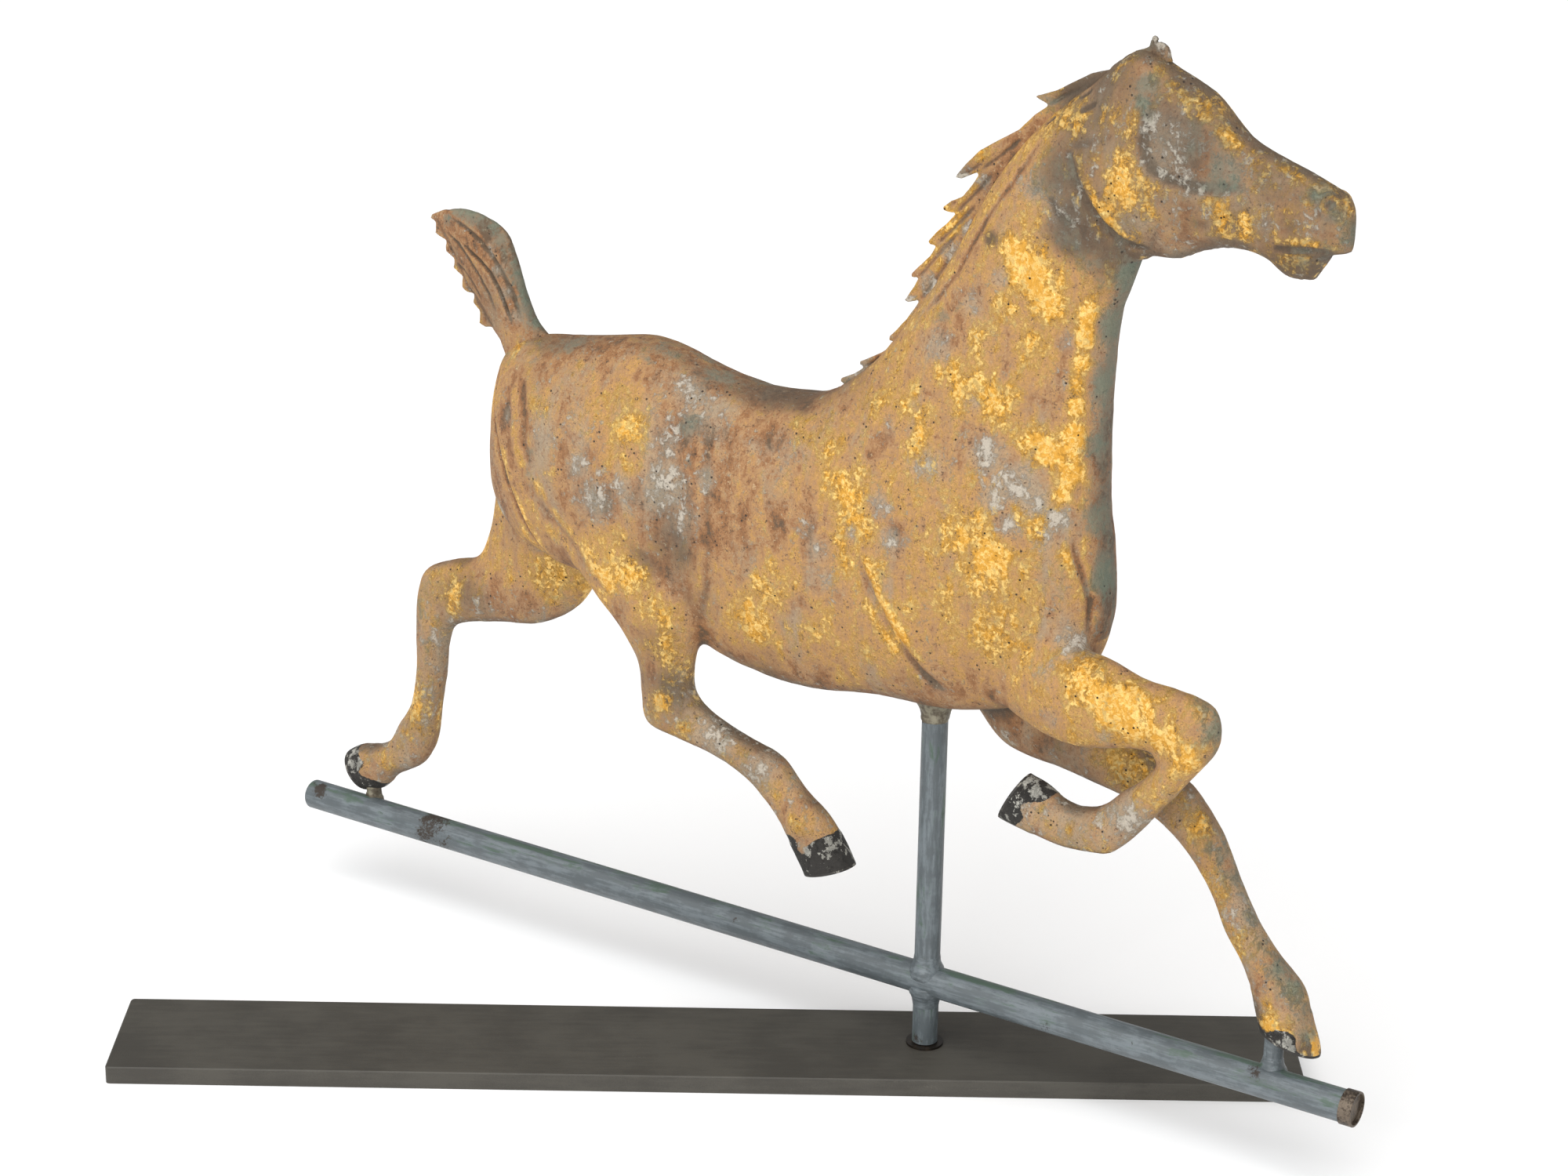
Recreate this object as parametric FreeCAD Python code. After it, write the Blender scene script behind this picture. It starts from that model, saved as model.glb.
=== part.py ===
import FreeCAD, Part
import math
import os

os.makedirs("parts", exist_ok=True)

# Weather vane: a hollow copper horse on a bar, turning on a pointed spindle.
# Millimetres, +Z up. The origin is on the spindle's axis at the base plate's underside.
# The vane is drawn in its own plane (x to the nose, y to the horse's left) and then turned.

# ---- driving dimensions ----
VANE_YAW = -32.5

PLATE_LENGTH = 825.0
PLATE_WIDTH = 101.6
PLATE_THICK = 12.7
PLATE_X = -152.0
PLATE_Y = -4.0
PLATE_CORNER = 3.0
PLATE_EDGE = 0.8

ROD_R = 6.0
ROD_SEAT = 9.0
ROD_TOP = 338.0
ROD_POINT = 10.4
WASHER_R = 13.0
WASHER_THICK = 1.6

POST_R = 9.0
POST_WALL = 1.2
POST_FOOT = 15.0
POST_TOP = 440.0
BUSH_LENGTH = 22.0
BUSH_CLEARANCE = 0.05
CUP_BOTTOM = 344.0
CUP_TOP = 366.0
CUP_SOCKET_R = 5.6
CUP_SOCKET_DEPTH = 4.75
SADDLE_Z = 426.0
SADDLE_THICK = 2.0
SADDLE_LENGTH = 60.0

BAR_R = 11.1
BAR_WALL = 1.6
BAR_Z = 62.0
BAR_FRONT = 321.0
BAR_REAR = -551.0
CAP_SKIRT = 9.0
CAP_WALL = 0.95
CAP_RIM = 3.5
CAP_DISC = 1.2
CAP_LIP = 0.6
CAP_ROUND = 0.6
REAR_DOME = 4.5
BRAZE_R = 12.5
BRAZE_HEIGHT = 12.0
BRAZE_START = 5.0
SOLDER_LIP = 0.5
COLLAR_R = 12.5
COLLAR_Z = 262.0
COLLAR_HEIGHT = 20.0

STUB_X = 261.0
STUB_Y = 5.0
STUB_R = 6.5
STUB_WALL = 1.2
STUB_SLIT = 2.4
STUB_ENTRY = 4.0
HEEL_X = -497.0
HEEL_Y = 6.0
HEEL_R = 6.0
HEEL_TOP = 86.0

COPPER = 1.0
SEAM_GAP = 0.1
SADDLE_GAP = 0.6
MANE_THICK = 1.4
EAR_THICK = 4.0
THROUGH = 200.0
ROUNDNESS = 2.3
ARC_POINTS = 9
LOFT_DEGREE = 2

# ---- stations: top x, top z, bottom x, bottom z, half-width, sideways centre ----
BODY = [
    (104, 712, 134, 602, 19, 0),
    (80, 692, 130, 584, 21, 0),
    (56, 668, 124, 565, 23, 0),
    (34, 638, 121, 540, 25, 0),
    (15, 603, 120, 512, 27, 0),
    (-3, 570, 119.5, 486, 29, 0),
    (-22, 542, 119.5, 460, 32, 0),
    (-46, 510, 120, 434, 35, 0),
    (-76, 482, 124, 404, 39, 0),
    (-98, 471, 127, 374, 42, 0),
    (-114, 469, 125, 344, 44, 0),
    (-130, 468, 110, 312, 45, 0),
    (-144, 468, 72, 287, 45, 0),
    (-157, 470, 20, 272, 46, 0),
    (-170, 472, -40, 269, 46, 0),
    (-188, 476, -95, 261, 46, 0),
    (-212, 483, -145, 265, 46, 0),
    (-240, 486, -188, 279, 47, 0),
    (-272, 480, -228, 293, 47, 0),
    (-302, 475, -268, 302, 45, 0),
    (-326, 472, -308, 309, 39, 0),
    (-344, 466, -342, 318, 30, 0),
    (-356, 455, -363, 338, 19, 0),
    (-362, 436, -369, 366, 8, 0),
]
HEAD = [
    (103.6, 713.4, 134.4, 600.6, 24, 0),
    (130, 732, 146, 605, 23, 0),
    (155, 723, 162, 606, 22.5, 0),
    (180, 711, 180, 614, 20, 0),
    (199, 692, 200, 618.5, 17.5, 0),
    (222, 680.5, 221, 616, 15.5, 0),
    (243, 673.5, 239, 606, 14, 0),
    (260, 667, 259, 611, 12.5, 0),
    (272, 661, 272, 622, 9, 0),
    (275.5, 654, 275.5, 628, 3, 0),
]
FORE_RIGHT = [
    (66, 348, 52, 296, 12, -18),
    (104, 350, 92, 281, 17, -26),
    (145, 344, 130, 281, 17, -30),
    (168, 337, 160, 288, 15.5, -30),
    (196, 335, 177, 290, 14.5, -30),
    (220, 328, 180, 287, 13.5, -30),
    (224, 306, 177, 280, 13, -30),
    (201, 269, 169, 270, 12, -30),
    (181, 243, 158, 256, 11, -30),
    (162, 220, 143, 243, 11, -30),
    (138, 209, 126, 238, 12, -30),
    (112, 208, 112, 241, 12, -30),
    (88, 213, 100, 247, 13.5, -30),
    (72.4, 217.4, 89.2, 249.6, 14.5, -30),
    (71, 217, 88, 250, 14.5, -30),
]
FORE_LEFT = [
    (62, 322, 12, 272, 14, 24),
    (84, 303, 42, 245, 17, 22),
    (114, 284, 92, 238, 15, 20),
    (150, 265, 140, 231, 13.5, 17),
    (185, 250, 172, 218, 13.5, 15),
    (207, 226, 191, 202, 12.5, 14),
    (222, 199, 206, 183, 11.5, 13),
    (240, 170, 219, 158, 10.5, 11.5),
    (257, 149, 230, 144, 12, 10.5),
    (277, 131, 241, 124, 12.5, 9.5),
    (284, 111, 247.5, 105, 13.5, 8.5),
    (290, 87.6, 251.5, 89.6, 14.5, 8),
    (290.3, 86, 251.6, 88, 14.5, 8),
]
HIND_RIGHT = [
    (-190, 400, -300, 400, 14, -25),
    (-176, 350, -296, 346, 18, -28),
    (-166, 314, -264, 306, 19, -30),
    (-172, 288, -238, 282, 17, -30),
    (-178, 262, -222, 262, 14, -30),
    (-176, 245, -219, 238, 13, -30),
    (-166, 236, -215, 217, 12.5, -30),
    (-150, 228.5, -186, 210, 11.5, -30),
    (-128, 222, -146, 201, 11, -30),
    (-104, 214.5, -124, 190.5, 12, -30),
    (-86, 196, -105, 173, 12, -30),
    (-65, 180, -95, 158, 13, -30),
    (-44.6, 149.4, -80.6, 136.6, 14.5, -30),
    (-44, 148, -80, 135, 14.5, -30),
]
HIND_LEFT = [
    (-372, 392, -270, 392, 14, 22),
    (-386, 345, -284, 320, 18, 24),
    (-394, 305, -304, 272, 18, 24),
    (-404, 284, -340, 246, 16.5, 22),
    (-424, 273, -384, 237, 15, 20),
    (-450, 255, -420, 227, 13.5, 18),
    (-457, 222, -431, 208, 12, 17),
    (-457, 190, -433, 186, 11, 16),
    (-461, 158, -437, 158, 11, 14),
    (-472, 138, -440, 130, 12.5, 12),
    (-482, 121, -452, 109, 13, 11.5),
    (-498, 113, -474, 95, 13, 11),
    (-512, 109.5, -490, 80, 14, 10),
    (-520.2, 104, -502.4, 76.8, 14.5, 10),
    (-521.6, 103, -503.8, 76, 14.5, 10),
]
TAIL = [
    (-322, 474, -350, 436, 7, 0),
    (-332, 482, -364, 461, 9, 0),
    (-341, 500, -382, 475, 9, 0),
    (-347, 520, -396, 497, 9, 0),
    (-357, 541, -408, 514, 8, 0),
    (-376, 550, -415, 527, 6.5, 0),
    (-398, 551.5, -420, 536, 5, 0),
    (-419, 546, -423, 540, 3, 0),
]
MANE = [
    (108, 714), (88, 708), (76, 700), (57, 693), (67, 689), (47, 671), (20, 652),
    (2, 634), (20, 640), (14, 630), (-7, 611), (4, 611), (-16, 588), (-10, 587),
    (-28, 564), (-22, 564), (-33, 546), (-21, 549), (-44, 519), (-38, 517),
    (-66, 498), (-62, 496), (-80, 484), (-76, 481), (-88, 474),
    (-50, 470), (0, 530), (40, 610), (80, 665), (108, 690),
]
EAR = [(126, 726), (129, 735), (134, 742), (136, 738), (141, 738), (145, 728)]


# ---- section tools ----
def vec(x, y, z):
    return FreeCAD.Vector(x, y, z)


def half_curve(station, inset, side):
    """Half of a rounded section, from its top to its bottom, on one side."""
    top_x, top_z, low_x, low_z, width, middle = station
    length = math.hypot(top_x - low_x, top_z - low_z)
    half = length / 2.0 - inset
    across = width - inset
    ux = (top_x - low_x) / length
    uz = (top_z - low_z) / length
    cx = (top_x + low_x) / 2.0
    cz = (top_z + low_z) / 2.0
    points = []
    for k in range(ARC_POINTS):
        turn = math.pi * k / (ARC_POINTS - 1)
        c = math.cos(turn)
        s = max(math.sin(turn), 0.0)
        along = half * math.copysign(abs(c) ** (2.0 / ROUNDNESS), c)
        out = across * s ** (2.0 / ROUNDNESS)
        if k in (0, ARC_POINTS - 1):
            out = 0.0
        points.append(vec(cx + ux * along, middle + side * out, cz + uz * along))
    curve = Part.BSplineCurve()
    curve.interpolate(points)
    return curve.toShape(), points[0], points[-1]


def half_wire(station, side):
    """The closed outline of one sheet half: outer curve, edge, inner curve, edge."""
    outer, out_top, out_low = half_curve(station, 0.0, side)
    inner, in_top, in_low = half_curve(station, COPPER, side)
    low_edge = Part.makeLine(out_low, in_low)
    top_edge = Part.makeLine(in_top, out_top)
    return Part.Wire([outer, low_edge, inner.reversed(), top_edge])


def whole_wire(station, inset):
    right, top, low = half_curve(station, inset, -1)
    left, top, low = half_curve(station, inset, 1)
    return Part.Wire([right, left.reversed()])


def loft(wires):
    """A smooth solid through the wires; a low degree keeps it from bulging between them."""
    return Part.makeLoft(wires, True, False, False, LOFT_DEGREE)


def half_shell(stations, side):
    """One stamped half, standing half the soldered gap off the seam."""
    half = loft([half_wire(s, side) for s in stations])
    half.translate(vec(0, side * SEAM_GAP / 2.0, 0))
    return half


def whole_solid(stations, inset=0.0):
    return loft([whole_wire(s, inset) for s in stations])


def rod(radius, low, high, x=0.0, y=0.0):
    return Part.makeCylinder(radius, high - low, vec(x, y, low))


def along_bar(radius, start, end):
    return Part.makeCylinder(radius, end - start, vec(start, 0, BAR_Z), vec(1, 0, 0))


def sheet(outline, thick):
    points = [vec(x, -thick / 2.0, z) for x, z in outline]
    wire = Part.makePolygon(points + [points[0]])
    return Part.Face(wire).extrude(vec(0, thick, 0))


def largest(shape):
    """The main solid left by a cut."""
    return max(shape.Solids, key=lambda s: s.Volume)


def save(shape, name):
    shape.exportStep("parts/" + name + ".step")


def save_vane(shape, name):
    turned = shape.copy()
    turned.rotate(vec(0, 0, 0), vec(0, 0, 1), VANE_YAW)
    save(turned, name)


# ---- stand ----
plate = Part.makeBox(PLATE_LENGTH, PLATE_WIDTH, PLATE_THICK)
plate.translate(vec(PLATE_X - PLATE_LENGTH / 2.0, PLATE_Y - PLATE_WIDTH / 2.0, 0))
upright = [e for e in plate.Edges if abs(e.tangentAt(e.FirstParameter).z) > 0.9]
plate = plate.makeFillet(PLATE_CORNER, upright)
rim = [e for e in plate.Edges if e.BoundBox.ZMin > PLATE_THICK - 0.01]
plate = plate.makeChamfer(PLATE_EDGE, rim)
plate = plate.cut(rod(ROD_R, PLATE_THICK - ROD_SEAT, THROUGH))
save(plate, "base_plate")

spindle = rod(ROD_R, PLATE_THICK - ROD_SEAT, ROD_TOP)
spindle = spindle.fuse(Part.makeCone(ROD_R, 0, ROD_POINT, vec(0, 0, ROD_TOP)))
save(spindle, "spindle_rod")

washer = rod(WASHER_R, PLATE_THICK, PLATE_THICK + WASHER_THICK)
washer = washer.cut(rod(ROD_R, 0, THROUGH))
save(washer, "foot_washer")

# ---- post tube and its bearings ----
post_bore = POST_R - POST_WALL
post_outer = rod(POST_R, POST_FOOT, POST_TOP)
post = post_outer.cut(rod(post_bore, 0, POST_TOP + THROUGH))
save_vane(post, "post_tube")

bush = rod(post_bore, POST_FOOT, POST_FOOT + BUSH_LENGTH)
bush = bush.cut(rod(ROD_R + BUSH_CLEARANCE, 0, THROUGH))
save_vane(bush, "lower_bush")

cup = rod(post_bore, CUP_BOTTOM, CUP_TOP)
cup = cup.cut(Part.makeCone(CUP_SOCKET_R, 0, CUP_SOCKET_DEPTH, vec(0, 0, CUP_BOTTOM)))
save_vane(cup, "pivot_cup")

# ---- bar with its caps and brazing ----
bar_outer = along_bar(BAR_R, BAR_REAR, BAR_FRONT)
bar = bar_outer.cut(along_bar(BAR_R - BAR_WALL, BAR_REAR - THROUGH, BAR_FRONT + THROUGH))
bar = largest(bar.cut(rod(POST_R, 0, THROUGH)))
save_vane(bar, "bar_tube")

front = along_bar(BAR_R + CAP_WALL, BAR_FRONT - CAP_SKIRT + CAP_RIM, BAR_FRONT + CAP_RIM)
front_rim = [e for e in front.Edges if e.BoundBox.XMin > BAR_FRONT + CAP_RIM - 0.01]
front = front.makeFillet(CAP_ROUND, front_rim)
front = front.cut(along_bar(BAR_R, BAR_FRONT - THROUGH, BAR_FRONT))
recess = along_bar(BAR_R - CAP_LIP, BAR_FRONT + CAP_DISC, BAR_FRONT + THROUGH)
save_vane(front.cut(recess), "bar_front_cap")

dome = Part.makeSphere(BAR_R)
squash = FreeCAD.Matrix()
squash.scale(REAR_DOME / BAR_R, 1, 1)
dome = dome.transformGeometry(squash)
dome.translate(vec(BAR_REAR, 0, BAR_Z))
dome = dome.cut(along_bar(2 * BAR_R, BAR_REAR, BAR_REAR + THROUGH))
save_vane(dome, "bar_rear_cap")


def braze(direction):
    start = vec(0, 0, BAR_Z + BRAZE_START * direction)
    cone = Part.makeCone(BRAZE_R, POST_R + SOLDER_LIP, BRAZE_HEIGHT, start, vec(0, 0, direction))
    cone = cone.cut(along_bar(BAR_R, -THROUGH, THROUGH))
    return largest(cone.cut(rod(POST_R, 0, THROUGH)))


save_vane(braze(1), "bar_braze_top")
save_vane(braze(-1), "bar_braze_bottom")

# ---- horse: body and head halves ----
body_outer = whole_solid(BODY, -SEAM_GAP)
head_outer = whole_solid(HEAD, -SEAM_GAP)
for side, name in ((-1, "right"), (1, "left")):
    skin = half_shell(BODY, side).cut(post_outer)
    save_vane(largest(skin), "body_" + name)
    save_vane(half_shell(HEAD, side), "head_" + name)

body_inner = whole_solid(BODY, COPPER + SADDLE_GAP)
saddle = Part.makeBox(SADDLE_LENGTH, THROUGH, SADDLE_THICK)
saddle.translate(vec(-SADDLE_LENGTH / 2.0, -THROUGH / 2.0, SADDLE_Z))
saddle = saddle.common(body_inner).cut(post_outer)
save_vane(largest(saddle), "saddle_plate")

collar = Part.makeCone(POST_R + SOLDER_LIP, COLLAR_R, COLLAR_HEIGHT, vec(0, 0, COLLAR_Z))
collar = collar.cut(body_outer).cut(post_outer)
save_vane(largest(collar), "belly_collar")


# ---- legs: each an outer and an inner half, closed by a sole plate ----
def make_leg(stations, name, outward):
    upper = stations[:-1]
    for side, half in ((outward, "outer"), (-outward, "inner")):
        skin = half_shell(upper, side).cut(body_outer)
        save_vane(largest(skin), name + "_" + half)
    save_vane(whole_solid(stations[-2:]), "sole_" + name)
    return whole_solid(upper, -SEAM_GAP), whole_solid(stations[-2:], -SEAM_GAP)


make_leg(FORE_RIGHT, "fore_right", -1)
make_leg(HIND_RIGHT, "hind_right", -1)
front_leg = make_leg(FORE_LEFT, "fore_left", 1)
hind_leg = make_leg(HIND_LEFT, "hind_left", 1)

# ---- where two hooves are held on the bar ----
stub_top = FORE_LEFT[-1][3] + STUB_ENTRY
stub = rod(STUB_R, BAR_Z, stub_top, STUB_X, STUB_Y)
stub = stub.cut(rod(STUB_R - STUB_WALL, 0, THROUGH, STUB_X, STUB_Y))
slit = Part.makeBox(STUB_SLIT, THROUGH, THROUGH)
slit.translate(vec(STUB_X - STUB_SLIT / 2.0, STUB_Y - THROUGH, BAR_Z))
stub = stub.cut(slit).cut(bar_outer).cut(front_leg[0]).cut(front_leg[1])
save_vane(largest(stub), "hoof_stub")

heel = rod(HEEL_R, BAR_Z, HEEL_TOP, HEEL_X, HEEL_Y)
heel = heel.cut(bar_outer).cut(hind_leg[0]).cut(hind_leg[1])
save_vane(largest(heel), "heel_solder")

# ---- tail, mane and the torn ears ----
for side, name in ((-1, "right"), (1, "left")):
    save_vane(largest(half_shell(TAIL, side).cut(body_outer)), "tail_" + name)
mane = sheet(MANE, MANE_THICK).cut(body_outer).cut(head_outer)
save_vane(largest(mane), "mane_plate")
ear = sheet(EAR, EAR_THICK).cut(head_outer)
save_vane(largest(ear), "ear_stub")
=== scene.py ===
import math

import bmesh
import bpy
import numpy as np
from mathutils import Matrix, Vector


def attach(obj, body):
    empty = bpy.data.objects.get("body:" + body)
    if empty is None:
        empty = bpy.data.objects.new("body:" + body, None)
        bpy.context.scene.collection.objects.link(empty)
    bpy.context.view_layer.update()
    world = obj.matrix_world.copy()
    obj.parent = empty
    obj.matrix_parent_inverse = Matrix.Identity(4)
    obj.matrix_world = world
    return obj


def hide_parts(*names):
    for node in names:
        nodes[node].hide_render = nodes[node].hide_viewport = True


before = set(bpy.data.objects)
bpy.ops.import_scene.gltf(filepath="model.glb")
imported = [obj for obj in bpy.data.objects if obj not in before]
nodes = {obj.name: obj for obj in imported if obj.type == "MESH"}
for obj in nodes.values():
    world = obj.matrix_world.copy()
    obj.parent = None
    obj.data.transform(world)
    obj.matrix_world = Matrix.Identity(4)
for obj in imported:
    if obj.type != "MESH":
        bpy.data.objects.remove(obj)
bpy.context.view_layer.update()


# ----------------------------------------
# The horse: sheet copper of about 1 mm, stamped in halves, soldered along the middle and gilded.
# It is drawn in millimetres in the vane's own plane, x to the nose, y to its left and z up.
# Each row of a form is one cross-section: the top x and z, the bottom x and z, the half-width,
# the sideways centre and how square the section is (2 is an ellipse).
# ----------------------------------------
VANE_YAW = math.radians(-32.5)
MILLIMETRE = 0.001
RING_POINTS = 56
SECTION_STEP = 7.0
HORSE_VOXEL = 1.8

BODY = [
    (104, 712, 134, 602, 19, 0, 2.3),
    (80, 692, 130, 584, 21, 0, 2.3),
    (56, 668, 124, 565, 23, 0, 2.3),
    (34, 638, 121, 540, 25, 0, 2.4),
    (15, 603, 120, 512, 27, 0, 2.4),
    (-3, 570, 119.5, 486, 29, 0, 2.5),
    (-22, 542, 119.5, 460, 32, 0, 2.5),
    (-46, 510, 120, 434, 35, 0, 2.5),
    (-76, 482, 124, 404, 39, 0, 2.5),
    (-98, 471, 127, 374, 42, 0, 2.4),
    (-114, 469, 125, 344, 44, 0, 2.4),
    (-130, 468, 110, 312, 45, 0, 2.3),
    (-144, 468, 72, 287, 45, 0, 2.3),
    (-157, 470, 20, 272, 46, 0, 2.3),
    (-170, 472, -40, 269, 46, 0, 2.3),
    (-188, 476, -95, 261, 46, 0, 2.3),
    (-212, 483, -145, 265, 46, 0, 2.3),
    (-240, 486, -188, 279, 47, 0, 2.3),
    (-272, 480, -228, 293, 47, 0, 2.3),
    (-302, 475, -268, 302, 45, 0, 2.3),
    (-326, 472, -308, 309, 39, 0, 2.2),
    (-344, 466, -342, 318, 30, 0, 2.1),
    (-356, 455, -363, 338, 19, 0, 2.1),
    (-362, 436, -369, 366, 8, 0, 2.1),
]
HEAD = [
    (96, 704, 128, 606, 16, 0, 2.2),
    (106, 715, 134, 601, 21, 0, 2.2),
    (130, 732, 146, 605, 23, 0, 2.2),
    (155, 723, 162, 606, 22.5, 0, 2.2),
    (180, 711, 180, 614, 20, 0, 2.2),
    (199, 692, 200, 618.5, 17.5, 0, 2.2),
    (222, 680.5, 221, 616, 15.5, 0, 2.2),
    (243, 673.5, 239, 606, 14, 0, 2.3),
    (260, 667, 259, 611, 12.5, 0, 2.4),
    (272, 661, 272, 622, 9, 0, 2.4),
    (275.5, 654, 275.5, 628, 4, 0, 2.2),
]
FORE_RIGHT = [
    (66, 348, 52, 296, 12, -18, 2.1),
    (104, 350, 92, 281, 17, -26, 2.1),
    (145, 344, 130, 281, 17, -30, 2.1),
    (168, 337, 160, 288, 15.5, -30, 2.1),
    (196, 335, 177, 290, 14.5, -30, 2.1),
    (220, 328, 180, 287, 13.5, -30, 2.1),
    (224, 306, 182, 282, 13, -30, 2.1),
    (201, 269, 173, 269, 12, -30, 2.1),
    (181, 243, 158, 256, 11, -30, 2.1),
    (162, 220, 143, 243, 11, -30, 2.1),
    (138, 209, 126, 238, 12, -30, 2.1),
    (112, 208, 112, 241, 12, -30, 2.1),
    (88, 213, 100, 247, 13.5, -30, 2.1),
    (71, 217, 88, 250, 14.5, -30, 2.1),
]
FORE_LEFT = [
    (62, 322, 12, 272, 14, 24, 2.1),
    (84, 303, 42, 245, 17, 22, 2.1),
    (114, 284, 92, 238, 15, 20, 2.1),
    (150, 265, 140, 231, 13.5, 17, 2.1),
    (185, 250, 172, 218, 13.5, 15, 2.1),
    (207, 226, 191, 202, 12.5, 14, 2.1),
    (222, 199, 206, 183, 11.5, 13, 2.1),
    (240, 170, 219, 158, 10.5, 11.5, 2.1),
    (257, 149, 230, 144, 12, 10.5, 2.1),
    (277, 131, 241, 124, 12.5, 9.5, 2.1),
    (284, 111, 247.5, 105, 13.5, 8.5, 2.1),
    (292, 87, 250, 97, 14.5, 8, 2.1),
]
HIND_RIGHT = [
    (-190, 400, -300, 400, 14, -25, 2.1),
    (-176, 350, -296, 346, 18, -28, 2.1),
    (-166, 314, -264, 306, 19, -30, 2.1),
    (-172, 288, -238, 282, 17, -30, 2.1),
    (-178, 262, -222, 262, 14, -30, 2.1),
    (-176, 245, -219, 238, 13, -30, 2.1),
    (-166, 236, -215, 217, 12.5, -30, 2.1),
    (-150, 228.5, -186, 210, 11.5, -30, 2.1),
    (-128, 222, -146, 201, 11, -30, 2.1),
    (-104, 214.5, -124, 190.5, 12, -30, 2.1),
    (-86, 196, -105, 173, 12, -30, 2.1),
    (-65, 180, -95, 158, 13, -30, 2.1),
    (-44, 148, -80, 135, 14.5, -30, 2.1),
]
HIND_LEFT = [
    (-372, 392, -270, 392, 14, 22, 2.1),
    (-386, 345, -284, 320, 18, 24, 2.1),
    (-394, 305, -304, 272, 18, 24, 2.1),
    (-404, 284, -340, 246, 16.5, 22, 2.1),
    (-428, 276, -384, 237, 15, 20, 2.1),
    (-451, 262, -420, 227, 13.5, 18, 2.1),
    (-457, 222, -431, 208, 12, 17, 2.1),
    (-457, 190, -433, 186, 11, 16, 2.1),
    (-461, 158, -437, 158, 11, 14, 2.1),
    (-472, 138, -440, 130, 12.5, 12, 2.1),
    (-482, 121, -452, 109, 13, 11.5, 2.1),
    (-498, 113, -474, 95, 13, 11, 2.1),
    (-512, 109.5, -490, 80, 14, 10, 2.1),
    (-521.6, 103, -503.8, 76, 14.5, 10, 2.1),
]


def picked(*pieces):
    """Leaves only these pieces selected, with the first one active."""
    if bpy.context.object and bpy.context.object.mode != "OBJECT":
        bpy.ops.object.mode_set(mode="OBJECT")
    bpy.ops.object.select_all(action="DESELECT")
    for piece in pieces:
        piece.select_set(True)
        bpy.context.view_layer.objects.active = pieces[0]


def opened(piece):
    """Opens a piece in edit mode with all of it selected."""
    picked(piece)
    bpy.ops.object.mode_set(mode="EDIT")
    bpy.ops.mesh.select_all(action="SELECT")


def closed_up():
    """Turns the faces of the form being edited outwards and leaves edit mode."""
    bpy.ops.mesh.select_all(action="SELECT")
    bpy.ops.mesh.normals_make_consistent(inside=False)
    bpy.ops.object.mode_set(mode="OBJECT")


def eased(sections):
    """The same sections with more between them, on a smooth curve that doesn't overshoot."""
    out = []
    rows = [np.array(s, float) for s in sections]
    first = 2 * rows[0] - rows[1]
    last = 2 * rows[-1] - rows[-2]
    rows = [first] + rows + [last]
    for p0, p1, p2, p3 in zip(rows, rows[1:], rows[2:], rows[3:]):
        d0, d1, d2 = (max(np.linalg.norm(b - a), 1e-6) ** 0.5 for a, b in ((p0, p1), (p1, p2), (p2, p3)))
        m1 = ((p2 - p1) / d1 - (p2 - p0) / (d0 + d1) + (p1 - p0) / d0) * d1
        m2 = ((p3 - p2) / d2 - (p3 - p1) / (d1 + d2) + (p2 - p1) / d1) * d1
        steps = max(1, round(float(np.linalg.norm(p2 - p1)) / SECTION_STEP))
        for k in range(steps):
            t = k / steps
            h = (2 * t**3 - 3 * t**2 + 1, t**3 - 2 * t**2 + t, -2 * t**3 + 3 * t**2, t**3 - t**2)
            out.append(h[0] * p1 + h[1] * m1 + h[2] * p2 + h[3] * m2)
    out.append(rows[-2])
    return out


def ring(section):
    """The points of one cross-section."""
    top_x, top_z, low_x, low_z, width, middle, power = section
    turn = np.arange(RING_POINTS) * 2 * math.pi / RING_POINTS
    c, s = np.cos(turn), np.sin(turn)
    along = np.sign(c) * np.abs(c) ** (2 / power) / 2
    out = np.sign(s) * np.abs(s) ** (2 / power) * width
    x = (top_x + low_x) / 2 + along * (top_x - low_x)
    z = (top_z + low_z) / 2 + along * (top_z - low_z)
    return np.stack([x, middle + out, z], 1)


def formed(sections):
    """A closed form drawn through its cross-sections: a disc, extruded from each to the next."""
    picked()
    bpy.ops.mesh.primitive_circle_add(vertices=RING_POINTS, radius=1, fill_type="NGON")
    piece = bpy.context.object
    opened(piece)
    mesh = bmesh.from_edit_mesh(piece.data)
    mesh.verts.ensure_lookup_table()
    rings = [ring(s) for s in eased(sections)]
    for v, place in zip(mesh.verts, rings[0]):
        v.co = Vector(place)
    bmesh.update_edit_mesh(piece.data)
    for before, after in zip(rings, rings[1:]):
        bpy.ops.mesh.extrude_region_move()
        mesh = bmesh.from_edit_mesh(piece.data)
        moved = [v for v in mesh.verts if v.select]
        for v in moved:
            nearest = int(np.argmin(((before - np.array(v.co)) ** 2).sum(1)))
            v.co = Vector(after[nearest])
        bmesh.update_edit_mesh(piece.data)
    closed_up()
    return piece


def joined(*pieces):
    picked(*pieces)
    bpy.ops.object.join()
    return pieces[0]


def with_modifier(piece, kind, **settings):
    picked(piece)
    modifier = piece.modifiers.new(kind.lower(), kind)
    for key, value in settings.items():
        setattr(modifier, key, value)
    bpy.ops.object.modifier_apply(modifier=modifier.name)


def run_on(sections, way, far):
    """A leg's sections with one more past the sole, so that the hoof can be cut off sharp."""
    x, z = way[0] * far, way[2] * far
    return sections + [tuple(np.add(sections[-1], (x, z, x, z, 0, 0, 0)))]


def skinned(piece, voxel, rounds):
    """Gives a piece one closed skin over all its forms, softened a little."""
    with_modifier(piece, "REMESH", mode="VOXEL", voxel_size=voxel, adaptivity=0)
    with_modifier(piece, "SMOOTH", factor=0.5, iterations=rounds)


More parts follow.
